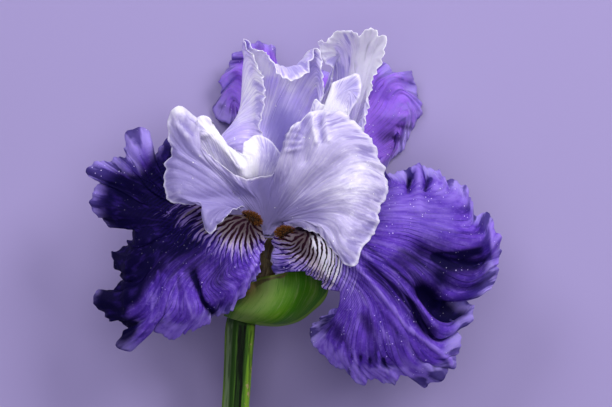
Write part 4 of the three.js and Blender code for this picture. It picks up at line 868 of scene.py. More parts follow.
def round_mesh(name, line, radii, sides, rings, section=None, ends=3):
    """A closed body round a line, its ends filled by rings; section shapes it by turn and share.

    Its map Around is (turn, share along); the value cut is how far in from the rim an end is.
    """
    t = np.linspace(0, 1, rings + 1)
    centre, sideways, outward = line_frames(line, t)
    radius = through(np.asarray(radii, float)[:, None], t)[:, 0]
    turn = np.linspace(0, 1, sides, endpoint=False)
    shape = np.ones((rings + 1, sides)) if section is None else section(turn[None, :], t[:, None])
    cosine, sine = np.cos(2 * np.pi * turn)[:, None], np.sin(2 * np.pi * turn)[:, None]

    def ring(k, scale):
        facing = cosine * sideways[k] + sine * outward[k]
        return centre[k] + scale * radius[k] * shape[k][:, None] * facing

    stacks = [(0, s / ends) for s in range(1, ends)] + [(k, 1) for k in range(rings + 1)]
    stacks += [(rings, s / ends) for s in range(ends - 1, 0, -1)]
    points = np.concatenate([ring(k, scale) for k, scale in stacks] + [centre[:1], centre[-1:]])
    cut = np.concatenate([np.full(sides, 1 - scale) for _, scale in stacks] + [[1, 1]])
    faces, around = [], []
    for j in range(len(stacks) - 1):
        for i in range(sides):
            a, b = j * sides + i, j * sides + (i + 1) % sides
            faces.append([a, b, b + sides, a + sides])
            low, high = t[stacks[j][0]], t[stacks[j + 1][0]]
            near, far = i / sides, (i + 1) / sides
            around += [(near, low), (far, low), (far, high), (near, high)]
    first, last = len(points) - 2, len(points) - 1
    top = (len(stacks) - 1) * sides
    for i in range(sides):
        faces.append([(i + 1) % sides, i, first])
        around += [((i + 1) / sides, 0), (i / sides, 0), ((i + 0.5) / sides, 0)]
        faces.append([top + i, top + (i + 1) % sides, last])
        around += [(i / sides, 1), ((i + 1) / sides, 1), ((i + 0.5) / sides, 1)]
    return mesh_from(name, points, faces, [("Around", np.array(around))], [("cut", cut)])


# ------------------------------------------------------------------ seating on the frame
def set_down(points):
    """Points of the bloom's frame, in millimetres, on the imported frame, in metres."""
    turned = np.array(points, float)
    y, z = points[:, 1], points[:, 2]
    turned[:, 1] = y * math.cos(TIP_BACK) - z * math.sin(TIP_BACK)
    turned[:, 2] = y * math.sin(TIP_BACK) + z * math.cos(TIP_BACK)
    return turned * MILLIMETRE + SHIFT


def stem_shift():
    """What brings the bloom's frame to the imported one: the stem's box against its CAD node's."""
    t = np.linspace(0, 1, 15)
    centre, sideways, outward = line_frames(STEM_LINE, t)
    radius = through(np.asarray(STEM_RADII)[:, None], t)
    points = []
    for turn in np.linspace(0, 2 * np.pi, 24, endpoint=False):
        fluted = radius * (1 + CAD_FLUTE_DEPTH * math.cos(STEM_FLUTES * turn))
        points.append(centre + fluted * (math.cos(turn) * sideways + math.sin(turn) * outward))
    points = set_down(np.concatenate(points))
    low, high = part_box("stem")
    return 0.5 * (np.array(low) + np.array(high) - points.min(0) - points.max(0))


# The stem is set down unshifted first, to find the shift that all pieces take.
SHIFT = np.zeros(3)
SHIFT = stem_shift()


def piece(name, mesh, slot, material, *nodes):
    """Sets a mesh down on the frame, inside the CAD model's box, as the piece for its nodes."""
    points = np.empty(len(mesh.vertices) * 3)
    mesh.vertices.foreach_get("co", points)
    points = set_down(points.reshape(-1, 3))
    low, high = np.array(CAD_BOX[0]), np.array(CAD_BOX[1])
    for k in range(3):
        ends = points[:, k].min(), points[:, k].max()
        points[:, k] = np.interp(points[:, k], ends, (max(ends[0], low[k]), min(ends[1], high[k])))
    mesh.vertices.foreach_set("co", points.ravel())
    mesh.update()
    built = bpy.data.objects.new(name, mesh)
    bpy.context.scene.collection.objects.link(built)
    mesh.materials.append(material)
    boxes = [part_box(node) for node in nodes]
    wanted = np.min([low for low, _ in boxes], axis=0), np.max([high for _, high in boxes], axis=0)
    off = [np.abs(points.min(0) - wanted[0]).max(), np.abs(points.max(0) - wanted[1]).max()]
    if max(off) > SEAT_TOLERANCE:
        raise RuntimeError(f"{name} doesn't sit where the frame has {nodes}")
    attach(built, BODY)
    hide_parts(*nodes)
    return built


# ------------------------------------------------------------------ beards, sheath and sections
def beard_pad(name, petal, patch):
    """The low dome under a beard's hairs, along the middle of its fall's claw."""
    columns, rows = PAD_FACETS
    u = np.linspace(patch[0], patch[1], columns + 1)
    v = np.linspace(patch[2], patch[3], rows + 1)
    grid = petal_grid(petal["shape"], u, v)
    facing = petal["side"] * normals_of(grid)
    across = np.sin(np.pi * np.linspace(0, 1, columns + 1))[None, :]
    along = np.sin(np.pi * np.linspace(0.1, 0.92, rows + 1))[:, None]
    dome = (BEARD_LIFT + BEARD_RISE + BEARD_DOME * np.sqrt(across * along))[..., None]
    top, bottom = grid + dome * facing, grid + BEARD_LIFT * facing
    hairy = np.concatenate([np.ones(across.size * along.size), np.zeros(across.size * along.size)])
    if petal["side"] < 0:
        top, bottom, hairy = bottom, top, 1 - hairy
    points, faces = wall_between(top, bottom)
    return mesh_from(name, points, faces, (), [("hairy", hairy), ("tip", np.zeros(len(points)))])


def hair_tree(material):
    """Geometry nodes that stand tapered, bent hairs all over the hairy faces of a pad."""
    tree = bpy.data.node_groups.new("Beard hairs", "GeometryNodeTree")
    tree.interface.new_socket("Pad", in_out="INPUT", socket_type="NodeSocketGeometry")
    for label in ("Density", "Hair Length", "Hair Width"):
        tree.interface.new_socket(label, in_out="INPUT", socket_type="NodeSocketFloat")
    tree.interface.new_socket("Seed", in_out="INPUT", socket_type="NodeSocketInt")
    tree.interface.new_socket("Beard", in_out="OUTPUT", socket_type="NodeSocketGeometry")

    def add(kind, inputs=None, out=0, **settings):
        return add_node(tree, kind, inputs, out, **settings)

    given = add("NodeGroupInput").node.outputs
    length, width = given["Hair Length"], given["Hair Width"]
    bent = add("ShaderNodeVectorMath", {0: (0.05, 0, 0.55), "Scale": length}, operation="SCALE")
    top = add("ShaderNodeVectorMath", {0: (0.35, 0, 1), "Scale": length}, operation="SCALE")
    ends = {"Resolution": 4, "Start": (0, 0, 0), "Middle": bent, "End": top}
    hair = add("GeometryNodeCurveQuadraticBezier", ends)
    share = add("GeometryNodeSplineParameter")
    taper = add("ShaderNodeMapRange", {0: share, 1: 0.0, 2: 1.0, 3: 1.0, 4: 0.3})
    hair = add("GeometryNodeSetCurveRadius", {"Curve": hair, "Radius": taper})
    radius = add("ShaderNodeMath", {0: width, 1: 0.5}, operation="MULTIPLY")
    ring = add("GeometryNodeCurvePrimitiveCircle", {"Resolution": 4, "Radius": radius})
    hair = add("GeometryNodeCurveToMesh", {"Curve": hair, "Profile Curve": ring, "Fill Caps": True})
    height = add("ShaderNodeSeparateXYZ", {0: add("GeometryNodeInputPosition")}, out=2)
    share = add("ShaderNodeMath", {0: height, 1: length}, operation="DIVIDE")
    hair = add("GeometryNodeStoreNamedAttribute", {
        "Geometry": hair, "Name": "tip", "Value": share,
    }, data_type="FLOAT", domain="POINT")
    hairy = add("GeometryNodeInputNamedAttribute", {"Name": "hairy"}, data_type="FLOAT")
    chosen = add("FunctionNodeCompare", {0: hairy, 1: 0.75}, data_type="FLOAT", operation="GREATER_THAN")
    roots = add("GeometryNodeDistributePointsOnFaces", {
        "Mesh": given["Pad"], "Selection": chosen, "Density": given["Density"], "Seed": given["Seed"],
    }, distribute_method="RANDOM")
    lean = add("FunctionNodeRandomValue", {
        0: (-0.4, -0.4, 0.0), 1: (0.4, 0.4, 6.28), "Seed": given["Seed"],
    }, data_type="FLOAT_VECTOR")
    lay = add("FunctionNodeRotateRotation", {
        "Rotation": roots.node.outputs["Rotation"], "Rotate By": lean,
    }, rotation_space="LOCAL")
    size = add("FunctionNodeRandomValue", {
        2: 0.65, 3: 1.15, "Seed": given["Seed"],
    }, out=1, data_type="FLOAT")
    stood = add("GeometryNodeInstanceOnPoints", {
        "Points": roots, "Instance": hair, "Rotation": lay, "Scale": size,
    })
    both = tree.nodes.new("GeometryNodeJoinGeometry")
    tree.links.new(add("GeometryNodeRealizeInstances", {"Geometry": stood}), both.inputs[0])
    tree.links.new(given["Pad"], both.inputs[0])
    done = add("GeometryNodeSetMaterial", {"Geometry": both.outputs[0], "Material": material})
    add("NodeGroupOutput", {"Beard": done})
    return tree


def with_hairs(pad, tree, wanted, seed):
    """The plain mesh of a pad with its hairs; sizes are in the pad's own millimetres."""
    scratch = bpy.data.objects.new(pad.name, pad)
    bpy.context.scene.collection.objects.link(scratch)
    hairs = scratch.modifiers.new("hairs", "NODES")
    hairs.node_group = tree
    values = {
        "Density": wanted.density, "Hair Length": wanted.hair_length / MILLIMETRE,
        "Hair Width": wanted.hair_width / MILLIMETRE, "Seed": seed,
    }
    for item in tree.interface.items_tree:
        if item.name in values:
            hairs[item.identifier] = values[item.name]
    done = scratch.evaluated_get(bpy.context.evaluated_depsgraph_get())
    mesh = bpy.data.meshes.new_from_object(done)
    scratch.modifiers.remove(hairs)
    bpy.data.objects.remove(scratch)
    mesh.polygons.foreach_set("use_smooth", [True] * len(mesh.polygons))
    return mesh


def sheath_mesh(name):
    """The papery sheath: a thin wrinkled wall round the ovary, its mouth torn on a slant."""
    sides, rings = SHEATH_FACETS
    turn = np.linspace(0, 1, sides + 1)
    share = np.linspace(0, 1, rings + 1)
    angle = 2 * np.pi * turn[None, :]
    slant = 1 - SHEATH_SLANT * (0.5 - 0.5 * np.cos(angle - SHEATH_TIP_ANGLE))
    torn = 1 + 0.012 * np.sin(7 * angle + 1.0) + 0.008 * np.sin(17 * angle)
    t = np.clip(share[:, None] * slant * torn, 0, 1)
    frames = line_frames(SHEATH_LINE, t.ravel())
    centre, sideways, outward = (part.reshape(rings + 1, sides + 1, 3) for part in frames)
    radius = through(np.asarray(SHEATH_RADII)[:, None], t.ravel()).reshape(t.shape)
    broad = 0.1 * np.sin(11 * angle + 4 * share[:, None])
    fine = 0.06 * np.sin(23 * angle - 3 * share[:, None])
    radius = radius - 0.15 + broad + fine
    facing = np.cos(angle)[..., None] * sideways + np.sin(angle)[..., None] * outward
    outside = (centre + radius[..., None] * facing)[:, :-1]
    inside = (centre + (radius - SHEATH_WALL)[..., None] * facing)[:, :-1]
    points = np.concatenate([outside.reshape(-1, 3), inside[::-1].reshape(-1, 3)])
    shares = np.concatenate([share, share[::-1]])
    count, faces, around = 2 * (rings + 1), [], []
    for j in range(count):
        k = (j + 1) % count
        for i in range(sides):
            n = (i + 1) % sides
            faces.append([j * sides + i, j * sides + n, k * sides + n, k * sides + i])
            near, far = turn[i], turn[i + 1]
            around += [(near, shares[j]), (far, shares[j]), (far, shares[k]), (near, shares[k])]
    return mesh_from(name, points, faces, [("Around", np.array(around))])


def stem_section(turn, share):
    """Radius of the stem by turn and share along: soft ridges, fine lines and a little waver."""
    ridges = 1 + FLUTE_DEPTH * np.cos(2 * np.pi * STEM_FLUTES * turn)
    fine = 0.006 * np.cos(2 * np.pi * 23 * turn + 2 * share)
    return ridges + fine - 0.02 + 0.006 * np.sin(2 * np.pi * (3 * share + turn))


def ovary_section(turn, share):
    """Six shallow ribs that die away at both ends."""
    return 1 + 0.05 * np.sin(np.pi * share) * np.cos(2 * np.pi * 6 * turn) - 0.04


def pollen_section(turn, share):
    """Thread below, and above it a flattened sac with a groove down each side."""
    sac = np.clip((share - 0.5) / 0.1, 0, 1) * np.clip((1.02 - share) / 0.08, 0, 1)
    return 1 - sac * 0.18 * (1 + np.cos(2 * np.pi * 2 * turn)) - 0.1 * (1 - sac)


# ------------------------------------------------------------------ finishes
def linear(hex_colour):
    """An sRGB hex colour as the linear colour that shaders use."""
    parts = [int(hex_colour[k:k + 2], 16) / 255 for k in (1, 3, 5)]
    return tuple(c / 12.92 if c <= 0.04045 else ((c + 0.055) / 1.055) ** 2.4 for c in parts)


def add_node(tree, kind, inputs=None, out=0, **settings):
    """One node with its settings and its inputs by number or name; gives back its output."""
    made = tree.nodes.new(kind)
    for key, value in settings.items():
        setattr(made, key, value)
    for key, value in (inputs or {}).items():
        if isinstance(value, bpy.types.NodeSocket):
            tree.links.new(value, made.inputs[key])
        elif made.inputs[key].type == "RGBA":
            made.inputs[key].default_value = (*value[:3], 1)
        else:
            made.inputs[key].default_value = value
    return made.outputs[out] if made.outputs else made


# The nodes that finishes are laid out with: type, inputs in the order their values are given, the
# output that is read, and settings. Any other name is the operation of a Math node.
FINISH_NODES = {
    "ease": ("ShaderNodeMapRange", range(5), 0, {"interpolation_type": "SMOOTHSTEP"}),
    "mix": ("ShaderNodeMix", (0, 6, 7), 2, {"data_type": "RGBA"}),
    "noise": ("ShaderNodeTexNoise", ("Vector", "Scale", "Detail", "Roughness"), 0, {}),
    "where": ("ShaderNodeCombineXYZ", range(3), 0, {}),
    "place": ("ShaderNodeTexCoord", (), 3, {}),
    "value": ("ShaderNodeAttribute", (), 2, {}),
}


class Finish:
    """A material's nodes while they are being laid out."""

    def __init__(self, name):
        self.material = bpy.data.materials.new(name)
        self.material.use_nodes = True
        self.tree = self.material.node_tree
        self.tree.nodes.clear()

    def add(self, name, *values, **settings):
        """Adds one of FINISH_NODES, or else a Math node, and gives back its output.

        An ease goes from one number to another while its value goes from low to high.
        """
        plain = ("ShaderNodeMath", range(3), 0, {"operation": name})
        kind, inputs, out, fixed = FINISH_NODES.get(name, plain)
        return add_node(self.tree, kind, dict(zip(inputs, values)), out, **fixed, **settings)

    def tint(self, tone, colour, value, low, high, weak=0.0, strong=1.0):
        """The tone turned to a colour, weakly where value is low and strongly where it is high."""
        return self.add("mix", self.add("ease", value, low, high, weak, strong), tone, colour)

    def map(self, label):
        """The two numbers of one of the piece's own maps."""
        both = add_node(self.tree, "ShaderNodeUVMap", uv_map=label)
        first = add_node(self.tree, "ShaderNodeSeparateXYZ", {0: both})
        return first, first.node.outputs[1]

    def grain(self, size, detail=2.0, roughness=0.5):
        """A cloudy pattern, 0 to 1, whose clouds are about that many millimetres across."""
        return self.add("noise", self.add("place"), 1 / (size * MILLIMETRE), detail, roughness)

    def streaks(self, across, along, times_across, times_along, detail=3.0, roughness=0.5):
        """A streaky pattern, 0 to 1, repeated so many times over each unit of two maps."""
        x, y = self.add("MULTIPLY", across, times_across), self.add("MULTIPLY", along, times_along)
        return self.add("noise", self.add("where", x, y), 1.0, detail, roughness)

    def dots(self, spacing, size):
        """Round specks, some here and there, in cells of so many millimetres; size is their share."""
        cell = {"Vector": self.add("place"), "Scale": 1 / (spacing * MILLIMETRE)}
        cells = add_node(self.tree, "ShaderNodeTexVoronoi", cell)
        chance = add_node(self.tree, "ShaderNodeSeparateColor", {0: cells.node.outputs["Color"]})
        crowd = self.add("ease", self.grain(spacing / 0.12), 0.4, 0.6)
        reach = self.add("ease", chance, 0.35, 0.95, 0.0, size)
        over = self.add("SUBTRACT", self.add("MULTIPLY", reach, crowd), cells)
        return self.add("ease", over, 0.0, 0.05)

    def branching(self, lane, spread):
        """Ridges along lanes, 0 to 1, that branch in two each time the lanes double in width."""
        level = self.add("LOGARITHM", self.add("MAXIMUM", spread, 0.125), 2.0)
        whole = self.add("FLOOR", level)
        turn = self.add("MULTIPLY", lane, self.add("POWER", 2.0, whole))
        turn = self.add("MULTIPLY", turn, 2 * math.pi)
        old = self.add("COSINE", turn)
        new = self.add("COSINE", self.add("MULTIPLY", turn, 2.0))
        share = self.add("ease", self.add("SUBTRACT", level, whole), 0.1, 0.9)
        line = self.add("MULTIPLY_ADD", self.add("SUBTRACT", new, old), share, old)
        return self.add("MULTIPLY_ADD", line, 0.5, 0.5)

    def close(self, colour, relief=None, depth=0.0001, **sockets):
        """The surface itself: a Principled shader with its colour, relief and fixed sockets.

        The relief is depth metres deep.
        """
        fixed = {name.replace("_", " "): value for name, value in sockets.items()}
        if relief is not None:
            bump = {"Strength": 1.0, "Distance": depth, "Height": relief}
            fixed["Normal"] = add_node(self.tree, "ShaderNodeBump", bump)
        shader = add_node(self.tree, "ShaderNodeBsdfPrincipled", {"Base Color": colour, **fixed})
        add_node(self.tree, "ShaderNodeOutputMaterial", {"Surface": shader})
        return self.material


def wandering_lane(made, lane, spread, amount, size=10.526):
    """A lane count that strays a little to each side, in bends of about size millimetres."""
    stray = made.add("SUBTRACT", made.grain(size, 3.0), 0.5)
    return made.add("ADD", lane, made.add("DIVIDE", made.add("MULTIPLY", stray, amount), spread))


def crinkle(made, line, ribbing):
    """Relief of a petal: its veins raised by ribbing, with crinkles of three sizes between them."""
    fine = made.grain(0.76923, 3.0, 0.6)
    middling = made.grain(2.0833, 3.0, 0.6)
    broad = made.grain(5.2632, 2.0, 0.5)
    relief = made.add("MULTIPLY_ADD", line, ribbing, made.add("MULTIPLY", fine, 0.5))
    relief = made.add("MULTIPLY_ADD", middling, 1.1, relief)
    return made.add("MULTIPLY_ADD", broad, 1.6, relief)


def shaded(made, tone, grain, deeper, lighter, strength=1.0):
    """Painted shade and painted light: the colour turned to deeper, a painted shade, where the
    tone strokes are positive and in the hollows of folds and ruffles, and to lighter, a painted
    highlight, where they are negative and on raised folds and ruffles.

    The grain, a noise from 0 to 1, frays the borders.
    """
    height = made.add("value", attribute_name="height")
    deepness = made.add("value", attribute_name="deepness")
    depth = made.add("MULTIPLY_ADD", height, -0.22, deepness)
    uneven = made.add("MULTIPLY_ADD", grain, 1.1, -0.55)
    marked = made.add("ease", made.add("ABSOLUTE", depth), 0.0, 0.5)
    depth = made.add("MULTIPLY_ADD", uneven, marked, depth)
    tone = made.tint(tone, deeper, depth, 0.0, 1.0, 0.0, strength)
    return made.tint(tone, lighter, depth, -1.0, 0.0, strength, 0.0)


def painted_crease_shade(made, lane, along, closeness=7.0):
    """Painted shade in short creases gathered across the margin, 0 to 1."""
    crease = made.streaks(lane, along, closeness, 5.0)
    reach = made.add("MULTIPLY_ADD", made.add("SUBTRACT", crease, 0.5), 0.35, along)
    dark = made.add("ease", crease, 0.47, 0.57, 0.0, 0.8)
    return made.add("MULTIPLY", dark, made.add("ease", reach, 0.8, 0.95))


def standard_finish(name, colours, white, lavender, claw, claw_end=0.5, glow=0.35):
    """Pale petal: white to lavender, claw colour and painted shade to claw_end of its length, fine veins,
    painted shade and highlights, dew specks as painted glints.
    """
    made = Finish(name)
    _, along = made.map("Across")
    lane, spread = made.map("Lanes")
    strayed = wandering_lane(made, lane, spread, 0.9)
    line = made.branching(strayed, spread)
    patch = made.add("ease", made.grain(16.667, 3.0), 0.35, 0.7)
    tone = made.add("mix", patch, white, lavender)
    # Towards the claw: its own deeper colour and painted shade.
    tone = made.tint(tone, claw, along, 0.0, claw_end, 0.85, 0.0)
    streak = made.streaks(strayed, along, 2.5, 2.0)
    tone = made.tint(tone, lavender, streak, 0.4, 0.75, 0.0, 0.5)
    tone = made.tint(tone, colours.standard_pale_and_painted_light, streak, 0.25, 0.45, 0.5, 0.0)
    wisps = made.streaks(strayed, along, 9.0, 9.0, 3.0, 0.6)
    tone = made.tint(tone, claw, wisps, 0.5, 0.75, 0.0, 0.42)
    tone = made.tint(tone, colours.standard_pale_and_painted_light, wisps, 0.3, 0.46, 0.4, 0.0)
    tone = made.tint(tone, colours.standard_vein, line, 0.62, 0.95, 0.0, 0.32)
    # Painted shade in the creases of the margin.
    tone = made.add("mix", painted_crease_shade(made, strayed, along), tone, claw)
    # Painted shade in the claw colour and painted highlights in the palest colour, from the tone strokes
    # and folds.
    tone = shaded(made, tone, wisps, claw, colours.standard_pale_and_painted_light)
    tone = made.tint(tone, colours.standard_pale_and_painted_light, along, 0.96, 1.0, 0.0, 0.6)
    # Dew specks, white as painted glints, raised as little drops.
    specks = made.dots(1.9231, 0.17)
    tone = made.add("mix", specks, tone, (1.0, 1.0, 1.0))
    relief = made.add("ADD", crinkle(made, line, 0.35), made.add("MULTIPLY", specks, 2.0))
    relief = made.add("ADD", relief, wisps)
    return made.close(
        tone, relief, 0.00013, Roughness=0.5, Specular_IOR_Level=0.3, Subsurface_Weight=glow,
        Subsurface_Radius=(1.0, 0.9, 1.1), Subsurface_Scale=0.0006, Sheen_Weight=0.1,
        Sheen_Roughness=0.4,
    )


def fall_finish(name, colours, violet, deep, marking=1.0):
    """Velvet violet petal, its haft greyish white with branching maroon veins round the beard, painted
    shade and painted highlights over it.

    The marking says how strongly its veins and the painted shade in the creases of its margin show.
    """
    made = Finish(name)
    _, along = made.map("Across")
    lane, spread = made.map("Lanes")
    turn, reach = made.map("Haft")
    pale = made.add("value", attribute_name="pale")
    back = made.add("value", attribute_name="back")
    deepness = made.add("value", attribute_name="deepness")
    strayed = wandering_lane(made, lane, spread, 0.8, 14.286)
    line = made.branching(strayed, spread)
    fibre = wandering_lane(made, lane, spread, 0.25, 6.25)
    patch = made.add("ease", made.grain(13.333, 3.0), 0.3, 0.72, 0.0, 0.6)
    tone = made.add("mix", patch, violet, deep)
    streak = made.streaks(fibre, along, 3.0, 2.5, 4.0)
    # Paler and deeper streaks and mottles: partly the velvet's own streaking, partly painted highlights
    # on its crumples.
    tone = made.tint(tone, colours.fall_light, streak, 0.5, 0.75, 0.0, 0.5 * marking)
    tone = made.tint(tone, deep, streak, 0.3, 0.46, 0.55 * marking, 0.0)
    grain = made.streaks(fibre, along, 7.0, 13.0, 4.0)
    tone = made.tint(tone, colours.fall_light, grain, 0.5, 0.72, 0.0, 0.5 * marking)
    tone = made.tint(tone, deep, grain, 0.3, 0.48, 0.5 * marking, 0.0)
    mottle = made.grain(1.25, 5.0, 0.75)
    tone = made.tint(tone, colours.fall_light, mottle, 0.52, 0.72, 0.0, 0.5)
    tone = made.tint(tone, deep, mottle, 0.3, 0.48, 0.5, 0.0)
    faint = made.add("ease", made.grain(9.0909, 3.0), 0.38, 0.66, 0.1, 0.7)
    faint = made.add("MULTIPLY", faint, made.add("ease", pale, 0.9, 1.5, 0.0, marking))
    faint = made.add("MULTIPLY", made.add("ease", line, 0.72, 1.0), faint)
    tone = made.add("mix", faint, tone, colours.fall_vein)
    # A lavender rim, partly painted sheen along the margin.
    frayed = made.add("MULTIPLY_ADD", made.add("SUBTRACT", streak, 0.5), 0.3, along)
    tone = made.tint(tone, colours.fall_rim_and_painted_sheen, frayed, 0.85, 0.99, 0.0, 0.85)
    # Painted shade in the creases of the margin.
    creases = made.add("MULTIPLY", painted_crease_shade(made, fibre, along, 4.5), marking)
    tone = made.add("mix", creases, tone, colours.fall_vein)
    # Painted shade in near-black violet and painted highlights in pale violet, from the tone strokes and
    # folds.
    painted_shade_colour = made.tint(colours.fall_shade, deep, grain, 0.5, 0.74, 0.0, 0.3)
    painted_light_colour = made.tint(colours.fall_light, violet, grain, 0.34, 0.56, 0.7, 0.0)
    tone = shaded(made, tone, streak, painted_shade_colour, painted_light_colour, 0.985)
    # The haft: lanes that widen with the distance from the beard, its ground running out in streaks.
    wide = made.add("DIVIDE", reach, HAFT_DENSITY * HAFT_SPACING)
    veins = made.branching(wandering_lane(made, turn, wide, 2.2, 6.6667), wide)
    uneven = made.add("MULTIPLY_ADD", made.grain(3.3333, 3.0), 0.44, -0.22)
    thick = made.add("ADD", veins, uneven)
    thick = made.add("ADD", thick, made.add("ease", reach, 3.0, 16.0, 0.0, -0.22))
    # Veins thicken where the tone strokes lay painted shade.
    thick = made.add("ADD", thick, made.add("ease", deepness, 0.1, 0.9, 0.0, 0.12))
    veins = made.add("ease", thick, 0.38, 0.62)
    ragged = made.streaks(turn, reach, 2.6, 0.08)
    ragged = made.add("MULTIPLY_ADD", made.add("SUBTRACT", ragged, 0.5), 1.6, pale)
    ground = made.tint(colours.haft_brown, colours.haft_white, reach, 3.0, 12.0)
    ground = made.tint(ground, colours.haft_brown, mottle, 0.45, 0.7, 0.0, 0.5)
    # Painted shade in brown where the tone strokes are positive, painted light where they are negative.
    ground = made.tint(ground, colours.haft_brown, deepness, 0.1, 0.9, 0.0, 0.75)
    ground = made.tint(ground, colours.haft_painted_light, deepness, -0.8, 0.0, 1.0, 0.0)
    ground = made.tint(ground, colours.fall_light, ragged, 0.6, 1.0, 0.0, 0.7)
    dark = made.tint(colours.haft_vein, colours.fall_vein, pale, 0.6, 1.2)
    outer = made.add("MULTIPLY", veins, made.add("ease", pale, 0.9, 2.0, 0.6, 0.0))
    tone = made.add("mix", outer, tone, colours.fall_vein)
    haft = made.add("mix", veins, ground, dark)
    haft = made.add("mix", made.add("MULTIPLY", back, 0.6), haft, colours.fall_light)
    tone = made.tint(tone, haft, ragged, 0.8, 1.2, 1.0, 0.0)
    # Dew specks, pale as painted glints, fewer in painted shade, raised as little drops.
    specks = made.dots(1.0, 0.25)
    specks = made.add("MULTIPLY", specks, made.add("ease", deepness, 0.3, 0.9, 0.9, 0.12))
    tone = made.add("mix", specks, tone, colours.dew)
    relief = made.add("ADD", crinkle(made, line, 0.12), made.add("MULTIPLY", specks, 2.0))
    relief = made.add("MULTIPLY_ADD", grain, 1.2 * marking * marking, relief)
    return made.close(
        tone, relief, 0.00016, Roughness=0.7, Specular_IOR_Level=0.05, Subsurface_Weight=0.2,
        Subsurface_Radius=(0.6, 0.4, 1.2), Subsurface_Scale=0.0006,
    )


def beard_finish(colours):
    """Fuzzy beard: dark brown at the roots, orange-brown hairs with paler tips."""
    made = Finish("Fuzzy beard")
    tip = made.add("value", attribute_name="tip")
    patch = made.grain(1.4286, 2.0)
    tone = made.tint(colours.beard_root, colours.beard_orange, tip, 0.0, 0.45)
    tone = made.tint(tone, colours.beard_tip, tip, 0.6, 1.0, 0.0, 0.8)
    tone = made.tint(tone, colours.beard_root, patch, 0.4, 0.75, 0.0, 0.5)
    return made.close(tone, patch, 0.0001, Roughness=0.75, Specular_IOR_Level=0.15)


def stamen_finish(colours):
    """Stamen: a smooth white filament below, grains of cream pollen over the sac above."""
    made = Finish("Pollen sac and filament")
    _, along = made.map("Around")
    grains = made.grain(0.28571, 2.0, 0.7)
    sac = made.add("ease", along, 0.5, 0.62)
    tone = made.tint(colours.pollen, colours.pollen_shade, grains, 0.4, 0.7)
    tone = made.add("mix", sac, colours.filament, tone)
    return made.close(tone, made.add("MULTIPLY", grains, sac), 0.0001, Roughness=0.75)


def stem_finish(greens):
    """Stem: waxy bloom and painted light down its sides, painted shade down its middle and under the
    bract, dark streaks, scars, a moist cut end.
    """
    made = Finish("Fluted green stem")
    turn, along = made.map("Around")
    cut = made.add("value", attribute_name="cut")
    lines = made.streaks(turn, along, 60.0, 9.0)
    stray = made.add("MULTIPLY_ADD", made.add("SUBTRACT", lines, 0.5), 0.03, turn)
    # Stripes round the stem: waxy bloom and painted light on the left, painted shade darkest down the
    # middle, painted light on the right.
    tone = made.tint(greens.bright, greens.waxy_and_painted_light, stray, 0.05, 0.09)
    tone = made.tint(tone, greens.shaded, stray, 0.13, 0.18)
    tone = made.tint(tone, greens.middle, stray, 0.205, 0.217, 0.0, 0.4)
    tone = made.tint(tone, greens.dark, stray, 0.22, 0.232)
    tone = made.tint(tone, greens.middle, stray, 0.31, 0.33)
    tone = made.tint(tone, greens.bright, stray, 0.34, 0.38)
    tone = made.tint(tone, greens.waxy_and_painted_light, stray, 0.6, 0.7)
    streaks = made.streaks(turn, along, 26.0, 5.0, 4.0)
    tone = made.tint(tone, greens.shaded, streaks, 0.46, 0.6, 0.0, 0.7)
    scars = made.add("MULTIPLY", made.grain(3.8462, 4.0, 0.65), made.add("ease", stray, 0.3, 0.36))
    tone = made.tint(tone, greens.scar, scars, 0.54, 0.62, 0.0, 0.9)
    # Painted shadow on the stem just under the bract.
    tone = made.tint(tone, greens.shaded, along, 0.88, 0.94, 0.0, 0.75)
    cells = made.dots(1.1111, 0.35)
    flesh = made.tint(greens.bright, greens.flesh, cut, 0.05, 0.3)
    flesh = made.add("mix", made.add("MULTIPLY", cells, 0.6), flesh, greens.middle)
    tone = made.tint(tone, flesh, cut, 0.01, 0.04)
    return made.close(
        tone, lines, 0.00025, Roughness=0.5, Specular_IOR_Level=0.1, Subsurface_Weight=0.1,
        Subsurface_Radius=(0.6, 1.0, 0.3), Subsurface_Scale=0.001,
    )


